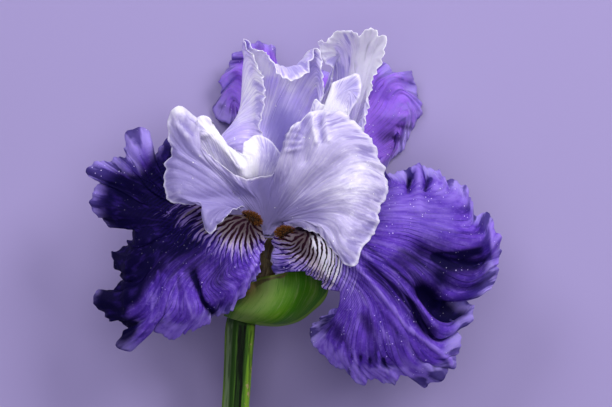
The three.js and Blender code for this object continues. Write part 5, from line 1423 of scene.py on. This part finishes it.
def bract_finish(greens):
    """Green bract: fine veins along it, a painted highlight down its middle, painted shade on its
    right-hand side, drying brown on its near rim, painted highlights at its edges.
    """
    made = Finish("Green bract")
    across, along = made.map("Across")
    lane, spread = made.map("Lanes")
    line = made.branching(wandering_lane(made, lane, spread, 0.8), spread)
    broad = made.streaks(across, along, 9.0, 0.8)
    fibres = made.streaks(across, along, 58.0, 1.6, 6.0, 0.7)
    tone = made.tint(greens.leaf, greens.leaf_deep, broad, 0.3, 0.7)
    stray = made.add("MULTIPLY_ADD", made.add("SUBTRACT", broad, 0.5), 0.16, across)
    # A painted highlight down the middle of the bract.
    bloom = made.add("ease", stray, 0.2, 0.32, 1.0, 0.0)
    bloom = made.add("MULTIPLY", made.add("ease", stray, 0.08, 0.16), bloom)
    tone = made.add("mix", made.add("MULTIPLY", bloom, 0.8), tone, greens.pale)
    # Painted shade over the bract's right-hand side.
    tone = made.tint(tone, greens.leaf_deep, stray, 0.34, 0.5, 0.0, 0.8)
    tone = made.tint(tone, greens.pale, fibres, 0.5, 0.64, 0.0, 0.6)
    tone = made.tint(tone, greens.leaf_deep, fibres, 0.34, 0.47, 0.7, 0.0)
    drying = made.add("ease", stray, 0.1, 0.24, 1.0, 0.0)
    drying = made.add("MULTIPLY", drying, made.add("ease", along, 0.35, 0.95))
    marked = made.add("value", attribute_name="deepness")
    ragged = made.add("MULTIPLY_ADD", made.add("SUBTRACT", fibres, 0.5), 0.9, marked)
    drying = made.add("MAXIMUM", drying, made.add("ease", ragged, 0.3, 0.85))
    # Painted shade, darker towards the right-hand rim.
    tone = made.tint(tone, greens.shaded, stray, 0.5, 0.72, 0.0, 0.7)
    tone = made.tint(tone, greens.pale, line, 0.6, 1.0, 0.0, 0.1)
    dry = made.tint(greens.papery_dark, greens.papery, broad, 0.4, 0.6)
    tone = made.add("mix", made.add("MULTIPLY", drying, 0.9), tone, dry)
    # Painted highlights along the margin and, from the tone strokes, along the outline.
    tone = made.tint(tone, greens.bright, along, 0.965, 1.0, 0.0, 0.4)
    tone = made.tint(tone, greens.bright, marked, -0.9, -0.3, 1.0, 0.0)
    relief = made.add("MULTIPLY_ADD", fibres, 0.4, broad)
    return made.close(
        tone, relief, 0.0001, Roughness=0.45, Specular_IOR_Level=0.14, Subsurface_Weight=0.15,
        Subsurface_Radius=(0.5, 1.0, 0.2), Subsurface_Scale=0.0008,
    )


def papery_finish(greens):
    """Papery bract: dry olive brown with fibres along it and darker blotches."""
    made = Finish("Papery bract")
    turn, along = made.map("Around")
    fibres = made.streaks(turn, along, 70.0, 6.0, 4.0)
    blotch = made.grain(3.8462, 4.0, 0.6)
    tone = made.tint(greens.papery, greens.papery_dark, fibres, 0.35, 0.7)
    tone = made.tint(tone, greens.olive, along, 0.55, 0.85, 0.0, 0.7)
    tone = made.tint(tone, greens.papery_dark, blotch, 0.5, 0.68, 0.0, 0.8)
    tone = made.tint(tone, greens.leaf_deep, along, 0.0, 0.3, 0.8, 0.0)
    return made.close(
        tone, fibres, 0.0003, Roughness=0.65, Subsurface_Weight=0.1, Subsurface_Scale=0.0006,
    )


def tube_finish(name, pale, deep):
    """Ovary and flower tube: smooth and olive to green, with faint darker stripes along them."""
    made = Finish(name)
    turn, along = made.map("Around")
    stripes = made.streaks(turn, along, 36.0, 2.0, 2.0)
    tone = made.tint(pale, deep, stripes, 0.35, 0.7)
    return made.close(tone, stripes, 0.0001, Roughness=0.45)


def floor_finish(colour):
    """Studio floor: matt pale paper with the slightest cloudiness."""
    made = Finish("Pale paper floor")
    cloud = made.grain(333.33, 3.0)
    shade = tuple(0.93 * c for c in colour)
    return made.close(made.add("mix", cloud, colour, shade), Roughness=0.9, Specular_IOR_Level=0.1)


# ------------------------------------------------------------------ settings
def colour_setting(name, description, hex_colour):
    """A colour that the panel offers."""
    return bpy.props.FloatVectorProperty(
        name=name, description=description, default=linear(hex_colour), subtype="COLOR", size=3,
        min=0, max=1,
    )


def number_setting(name, description, default, unit="NONE"):
    """A number that the panel offers, in metres or watts where it has a unit."""
    return bpy.props.FloatProperty(
        name=name, description=description, default=default, min=0, unit=unit,
    )


class IrisPetalSettings(bpy.types.PropertyGroup):
    """Sizes and colours of the petals."""

    columns: bpy.props.IntProperty(
        name="Columns", description="Facets across each petal", default=400, min=40,
    )
    rows: bpy.props.IntProperty(
        name="Rows", description="Facets from claw to margin", default=80, min=12,
    )
    claw_thickness: number_setting(
        "Claw Thickness", "Thickness of a petal at its claw", 0.0007, "LENGTH",
    )
    margin_thickness: number_setting(
        "Margin Thickness", "Thickness of a petal at its margin", 0.00016, "LENGTH",
    )
    standard_white: colour_setting("Standard White", "Upright petals, lit parts", "#CCC4E8")
    standard_lavender: colour_setting("Standard Lavender", "Upright petals, cooler parts", "#B4ACCF")
    # The claw colour, also the painted shade of the upright petals.
    standard_claw_and_shade: colour_setting("Standard Claw", "Upright petals near their claw", "#8C82B8")
    # Pale streaks of the upright petals, also their painted highlights.
    standard_pale_and_painted_light: colour_setting("Standard Glow", "Brightest streaks of the upright petals", "#F6F3FF")
    standard_vein: colour_setting("Standard Vein", "Fine veins of the upright petals", "#ACA0D8")
    # Paler copies of the upright petals' colours, painted light shining through the back standards and
    # over the style arms; the claw colour is also their painted shade.
    back_white_painted_light: colour_setting(
        "Back Standard White", "Back standards and style arms, lit parts", "#F8F5FF",
    )
    back_lavender_painted_light: colour_setting(
        "Back Standard Lavender", "Back standards and style arms, cooler parts", "#C9B8FE",
    )
    back_claw_and_shade: colour_setting(
        "Back Standard Claw", "Back standards and style arms near their claw", "#A298D2",
    )
    fall_violet: colour_setting("Fall Violet", "Falls, main colour", "#603CB0")
    fall_deep: colour_setting("Fall Deep Violet", "Falls, deeper patches", "#3A2286")
    fall_light: colour_setting("Fall Light Violet", "Falls, paler streaks", "#8A70CE")
    # Partly painted sheen along the margin.
    fall_rim_and_painted_sheen: colour_setting("Fall Margin", "Falls, lavender rim", "#9E8ED6")
    fall_vein: colour_setting("Fall Vein", "Falls, dark veins", "#1B0B5A")
    fall_shade: colour_setting("Fall Shade", "Falls, deepest hollows", "#04012A")
    # A brighter copy of the falls' violets for the back fall: painted light shining through it.
    back_violet_painted_backlight: colour_setting("Back Fall Violet", "Back fall, main colour", "#A070E2")
    back_deep_painted_backlight: colour_setting("Back Fall Deep Violet", "Back fall, deeper patches", "#7A50CA")
    haft_white: colour_setting("Haft White", "Ground between the veins beside the beard", "#C2B4C4")
    # The painted light on the haft's ground.
    haft_painted_light: colour_setting("Haft Bright", "Brightest ground of the haft", "#F2EEFA")
    haft_brown: colour_setting("Haft Brown", "Ground close to the beard", "#4C4044")
    haft_vein: colour_setting("Haft Vein", "Maroon veins beside the beard", "#220A18")
    # Pale as painted glints of dew.
    dew: colour_setting("Dew", "Dew specks on the falls", "#CFC4F4")


class IrisBeardSettings(bpy.types.PropertyGroup):
    """Hairs of the beards and the pollen."""

    hair_length: number_setting("Hair Length", "Length of a beard hair", 0.0009, "LENGTH")
    hair_width: number_setting("Hair Width", "Width of a beard hair at its root", 0.00013, "LENGTH")
    density: number_setting("Hairs per Square Millimetre", "How densely the hairs stand", 9.0)
    seed: bpy.props.IntProperty(name="Seed", description="Which random lay the hairs take", default=7)
    beard_root: colour_setting("Beard Root", "Beard hairs at their roots", "#1E1006")
    beard_orange: colour_setting("Beard Orange", "Beard hairs along their length", "#60320E")
    beard_tip: colour_setting("Beard Tip", "Beard hairs at their tips", "#8C5C20")
    pollen: colour_setting("Pollen", "Pollen sacs", "#EFE8D2")
    pollen_shade: colour_setting("Pollen Shade", "Hollows between pollen grains", "#C9BE9E")
    filament: colour_setting("Filament", "Thread under a pollen sac", "#D9D3EE")


class IrisGreenSettings(bpy.types.PropertyGroup):
    """Colours of the stem, bracts, ovary and tube."""

    leaf: colour_setting("Leaf Green", "Bract, main colour", "#54800A")
    leaf_deep: colour_setting("Deep Leaf Green", "Bract, shaded side", "#286200")
    # Also the painted highlight down the bract's middle.
    pale: colour_setting("Pale Bloom", "Waxy pale green", "#6A8240")
    middle: colour_setting("Stem Green", "Stem between its ridges", "#4A7420")
    # Also the painted light on the stem's sides and the bract's edges.
    bright: colour_setting("Bright Stem Green", "Stem on its bright side", "#6E9426")
    # Painted shade down the middle of the stem.
    dark: colour_setting("Stem Groove", "Deepest groove of the stem", "#050F02")
    shaded: colour_setting("Shaded Stem", "Stem beside its groove", "#1E3A0E")
    # Waxy bloom, also painted light on the stem's left side.
    waxy_and_painted_light: colour_setting("Waxy Stem", "Stem where its pale bloom is thickest", "#6A8056")
    flesh: colour_setting("Cut Flesh", "Cut end of the stem", "#C9D6A0")
    scar: colour_setting("Scar", "Dry marks on the stem", "#A08C64")
    papery: colour_setting("Papery Brown", "Dry bract", "#6C5A38")
    olive: colour_setting("Olive", "Dry bract at its mouth", "#5E5228")
    papery_dark: colour_setting("Papery Dark Brown", "Blotches on the dry bract", "#362818")


class IrisStageSettings(bpy.types.PropertyGroup):
    """Floor, lights and camera."""

    floor_colour: colour_setting("Floor", "Paper under the flower", "#9D92BE")
    key_power: number_setting("Key Light", "Large light from the upper right", 9.4, "POWER")
    side_power: number_setting("Side Light", "Light from the upper left", 5.0, "POWER")
    fill_power: number_setting("Fill Light", "Soft light from above", 6.2, "POWER")
    distance: number_setting("Camera Distance", "Camera to flower", 2.0, "LENGTH")
    view_width: number_setting("View Width", "Width that the camera takes in", 0.204, "LENGTH")


# ------------------------------------------------------------------ pieces
class IrisPiece:
    """What the operators of this panel share."""

    bl_options = {"REGISTER", "UNDO"}


def petals_from(context, names, material, slot, fineness=1.0):
    """Builds the named petals with the panel's facets, fineness times as many, and thicknesses."""
    sizes = context.scene.iris_petals
    for name in names:
        mesh = petal_mesh(
            name, PETALS[name], int(fineness * sizes.columns), int(fineness * sizes.rows),
            sizes.claw_thickness / MILLIMETRE, sizes.margin_thickness / MILLIMETRE,
        )
        piece("fine_" + name, mesh, slot, material, name)


class IRIS_OT_add_standards(IrisPiece, bpy.types.Operator):
    """Add the three pale upright petals"""

    bl_idname = "iris.add_standards"
    bl_label = "Standards"

    def execute(self, context):
        colours = context.scene.iris_petals
        front = standard_finish(
            "Pale standard petal", colours, colours.standard_white, colours.standard_lavender,
            colours.standard_claw_and_shade,
        )
        petals_from(context, STANDARDS[:1], front, "standard_petal")
        # The back standards: a paler copy of the petal finish with a shorter claw tint, painted light
        # shining through them.
        back = standard_finish(
            "Thin lavender standard petal", colours, colours.back_white_painted_light, colours.back_lavender_painted_light,
            colours.back_claw_and_shade, claw_end=0.3, glow=0.5,
        )
        petals_from(context, STANDARDS[1:], back, "standard_petal", BACK_FINENESS)
        return {"FINISHED"}


class IRIS_OT_add_falls(IrisPiece, bpy.types.Operator):
    """Add the three violet falls"""

    bl_idname = "iris.add_falls"
    bl_label = "Falls"

    def execute(self, context):
        colours = context.scene.iris_petals
        front = fall_finish("Velvet violet fall", colours, colours.fall_violet, colours.fall_deep)
        petals_from(context, FALLS[:2], front, "fall_petal")
        # The back fall: a brighter copy of the fall finish, painted light shining through it, its marks
        # fainter.
        back = fall_finish(
            "Thin bright violet fall", colours, colours.back_violet_painted_backlight, colours.back_deep_painted_backlight, marking=0.55,
        )
        petals_from(context, FALLS[2:], back, "fall_petal", BACK_FINENESS)
        return {"FINISHED"}


class IRIS_OT_add_style_arms(IrisPiece, bpy.types.Operator):
    """Add the three crested style arms over the beards"""

    bl_idname = "iris.add_style_arms"
    bl_label = "Style Arms"

    def execute(self, context):
        colours = context.scene.iris_petals
        # The style arms take the back standards' paler colours, painted light.
        material = standard_finish(
            "Crested style arm", colours, colours.back_white_painted_light, colours.standard_white,
            colours.back_claw_and_shade, claw_end=0.35,
        )
        for name in STYLE_ARMS:
            mesh = petal_mesh(name, PETALS[name], *STYLE_ARM_FACETS, *STYLE_ARM_WALL)
            piece("fine_" + name, mesh, "style_arm", material, name)
        return {"FINISHED"}


class IRIS_OT_add_beards(IrisPiece, bpy.types.Operator):
    """Add the three fuzzy beards, each a low pad thick with hairs"""

    bl_idname = "iris.add_beards"
    bl_label = "Beards"

    def execute(self, context):
        wanted = context.scene.iris_beards
        material = beard_finish(wanted)
        tree = hair_tree(material)
        for count, (name, beard) in enumerate(BEARDS.items()):
            pad = beard_pad(name, PETALS[beard["petal"]], beard["patch"])
            mesh = with_hairs(pad, tree, wanted, wanted.seed + count)
            piece("fuzzy_" + name, mesh, "beard", material, name)
        return {"FINISHED"}


class IRIS_OT_add_stamens(IrisPiece, bpy.types.Operator):
    """Add the stamen under each style arm"""

    bl_idname = "iris.add_stamens"
    bl_label = "Stamens"

    def execute(self, context):
        material = stamen_finish(context.scene.iris_beards)
        for name, line in STAMENS.items():
            mesh = round_mesh(name, line, STAMEN_RADII, *STAMEN_FACETS, pollen_section)
            piece("fine_" + name, mesh, "stamen", material, name)
        return {"FINISHED"}


class IRIS_OT_add_stem(IrisPiece, bpy.types.Operator):
    """Add the fluted stem with its cut end"""

    bl_idname = "iris.add_stem"
    bl_label = "Stem"

    def execute(self, context):
        mesh = round_mesh(
            "stem", STEM_LINE, STEM_RADII, *STEM_FACETS, stem_section, STEM_END_RINGS,
        )
        piece("fluted_stem", mesh, "stem", stem_finish(context.scene.iris_greens), "stem")
        return {"FINISHED"}


class IRIS_OT_add_bracts(IrisPiece, bpy.types.Operator):
    """Add the green bract and the papery one inside it"""

    bl_idname = "iris.add_bracts"
    bl_label = "Bracts"

    def execute(self, context):
        greens = context.scene.iris_greens
        bract = PETALS["spathe_outer"]
        mesh = petal_mesh("spathe_outer", bract, *BRACT_FACETS, *BRACT_WALL)
        piece("green_bract", mesh, "green_bract", bract_finish(greens), "spathe_outer")
        mesh = sheath_mesh("spathe_inner")
        piece("papery_sheath", mesh, "papery_bract", papery_finish(greens), "spathe_inner")
        return {"FINISHED"}


class IRIS_OT_add_tube(IrisPiece, bpy.types.Operator):
    """Add the ovary and the tube that carries the petals"""

    bl_idname = "iris.add_tube"
    bl_label = "Ovary and Tube"

    def execute(self, context):
        greens = context.scene.iris_greens
        mesh = round_mesh("ovary", OVARY_LINE, OVARY_RADII, *OVARY_FACETS, ovary_section)
        material = tube_finish("Ovary skin", greens.pale, greens.leaf)
        piece("ribbed_ovary", mesh, "ovary", material, "ovary")
        mesh = round_mesh("perianth_tube", TUBE_LINE, TUBE_RADII, *TUBE_FACETS)
        material = tube_finish("Flower tube", greens.papery, greens.papery_dark)
        piece("flower_tube", mesh, "perianth_tube", material, "perianth_tube")
        return {"FINISHED"}


class IRIS_OT_add_stage(IrisPiece, bpy.types.Operator):
    """Add the floor, soft lights and camera"""

    bl_idname = "iris.add_stage"
    bl_label = "Stage"

    def execute(self, context):
        wanted = context.scene.iris_stage
        lay_floor(context, tuple(wanted.floor_colour))
        aim = Vector(set_down(np.array([AIM]))[0])
        for name, light in LIGHTS.items():
            soft_light(context, name, aim, getattr(wanted, name + "_power"), *light)
        world = bpy.data.worlds.new("studio")
        world.use_nodes = True
        glow = world.node_tree.nodes["Background"]
        glow.inputs["Color"].default_value = WORLD_COLOUR
        glow.inputs["Strength"].default_value = WORLD_STRENGTH
        context.scene.world = world
        context.scene.view_settings.view_transform = "Standard"
        stand_camera(context, aim, wanted)
        return {"FINISHED"}


def lay_floor(context, colour):
    """The floor, one wide square just under the bloom."""
    mesh = bpy.data.meshes.new("floor")
    half, level = FLOOR_HALF, CAD_BOX[0][2] - FLOOR_GAP
    corners = [(-half, -half, level), (half, -half, level), (half, half, level), (-half, half, level)]
    mesh.from_pydata(corners, [], [(0, 1, 2, 3)])
    mesh.materials.append(floor_finish(colour))
    floor = bpy.data.objects.new("floor", mesh)
    context.scene.collection.objects.link(floor)


def soft_light(context, name, aim, power, turn, lift, distance, size, colour):
    """A large square light, turn degrees clockwise from the bloom's head and lift over the floor."""
    lamp = bpy.data.lights.new(name, "AREA")
    lamp.shape, lamp.size, lamp.energy, lamp.color = "SQUARE", size, power, colour
    placed = bpy.data.objects.new(name, lamp)
    a, e = math.radians(turn), math.radians(lift)
    away = Vector((math.sin(a) * math.cos(e), math.cos(a) * math.cos(e), math.sin(e)))
    placed.location = aim + distance * away
    placed.rotation_euler = (-away).to_track_quat("-Z", "Y").to_euler()
    placed.visible_camera = False
    context.scene.collection.objects.link(placed)


def stand_camera(context, aim, wanted):
    """The camera, looking down the bloom's own front axis."""
    lens = bpy.data.cameras.new("camera")
    lens.lens = lens.sensor_width * wanted.distance / wanted.view_width
    camera = bpy.data.objects.new("camera", lens)
    back = Vector((0, -math.sin(TIP_BACK), math.cos(TIP_BACK)))
    camera.location = aim + wanted.distance * back
    camera.rotation_euler = (-back).to_track_quat("-Z", "Y").to_euler()
    context.scene.collection.objects.link(camera)
    context.scene.camera = camera


class IRIS_PT_panel(bpy.types.Panel):
    """The pieces of the bloom and their settings"""

    bl_label = "Bearded Iris Bloom"
    bl_idname = "IRIS_PT_panel"
    bl_space_type = "VIEW_3D"
    bl_region_type = "UI"
    bl_category = "Iris"

    def draw(self, context):
        for maker in MAKERS:
            self.layout.operator(maker.bl_idname)
        for group in SETTINGS:
            box = self.layout.box()
            wanted = getattr(context.scene, group)
            for label in wanted.bl_rna.properties.keys():
                if label not in ("rna_type", "name"):
                    box.prop(wanted, label)


SETTINGS = {
    "iris_petals": IrisPetalSettings,
    "iris_beards": IrisBeardSettings,
    "iris_greens": IrisGreenSettings,
    "iris_stage": IrisStageSettings,
}
MAKERS = (
    IRIS_OT_add_standards, IRIS_OT_add_falls, IRIS_OT_add_style_arms, IRIS_OT_add_beards,
    IRIS_OT_add_stamens, IRIS_OT_add_stem, IRIS_OT_add_bracts, IRIS_OT_add_tube, IRIS_OT_add_stage,
)


def register():
    """Adds the settings, operators and panel."""
    for made in (*SETTINGS.values(), *MAKERS, IRIS_PT_panel):
        bpy.utils.register_class(made)
    for label, group in SETTINGS.items():
        setattr(bpy.types.Scene, label, bpy.props.PointerProperty(type=group))


def unregister():
    """Takes them away again."""
    for label in SETTINGS:
        delattr(bpy.types.Scene, label)
    for made in (IRIS_PT_panel, *reversed(MAKERS), *reversed(SETTINGS.values())):
        bpy.utils.unregister_class(made)


def main():
    """Builds the whole bloom on its stage."""
    register()
    bpy.ops.iris.add_standards()
    bpy.ops.iris.add_falls()
    bpy.ops.iris.add_style_arms()
    bpy.ops.iris.add_beards()
    bpy.ops.iris.add_stamens()
    bpy.ops.iris.add_stem()
    bpy.ops.iris.add_bracts()
    bpy.ops.iris.add_tube()
    bpy.ops.iris.add_stage()
    bpy.context.view_layer.update()


if __name__ == "__main__":
    main()
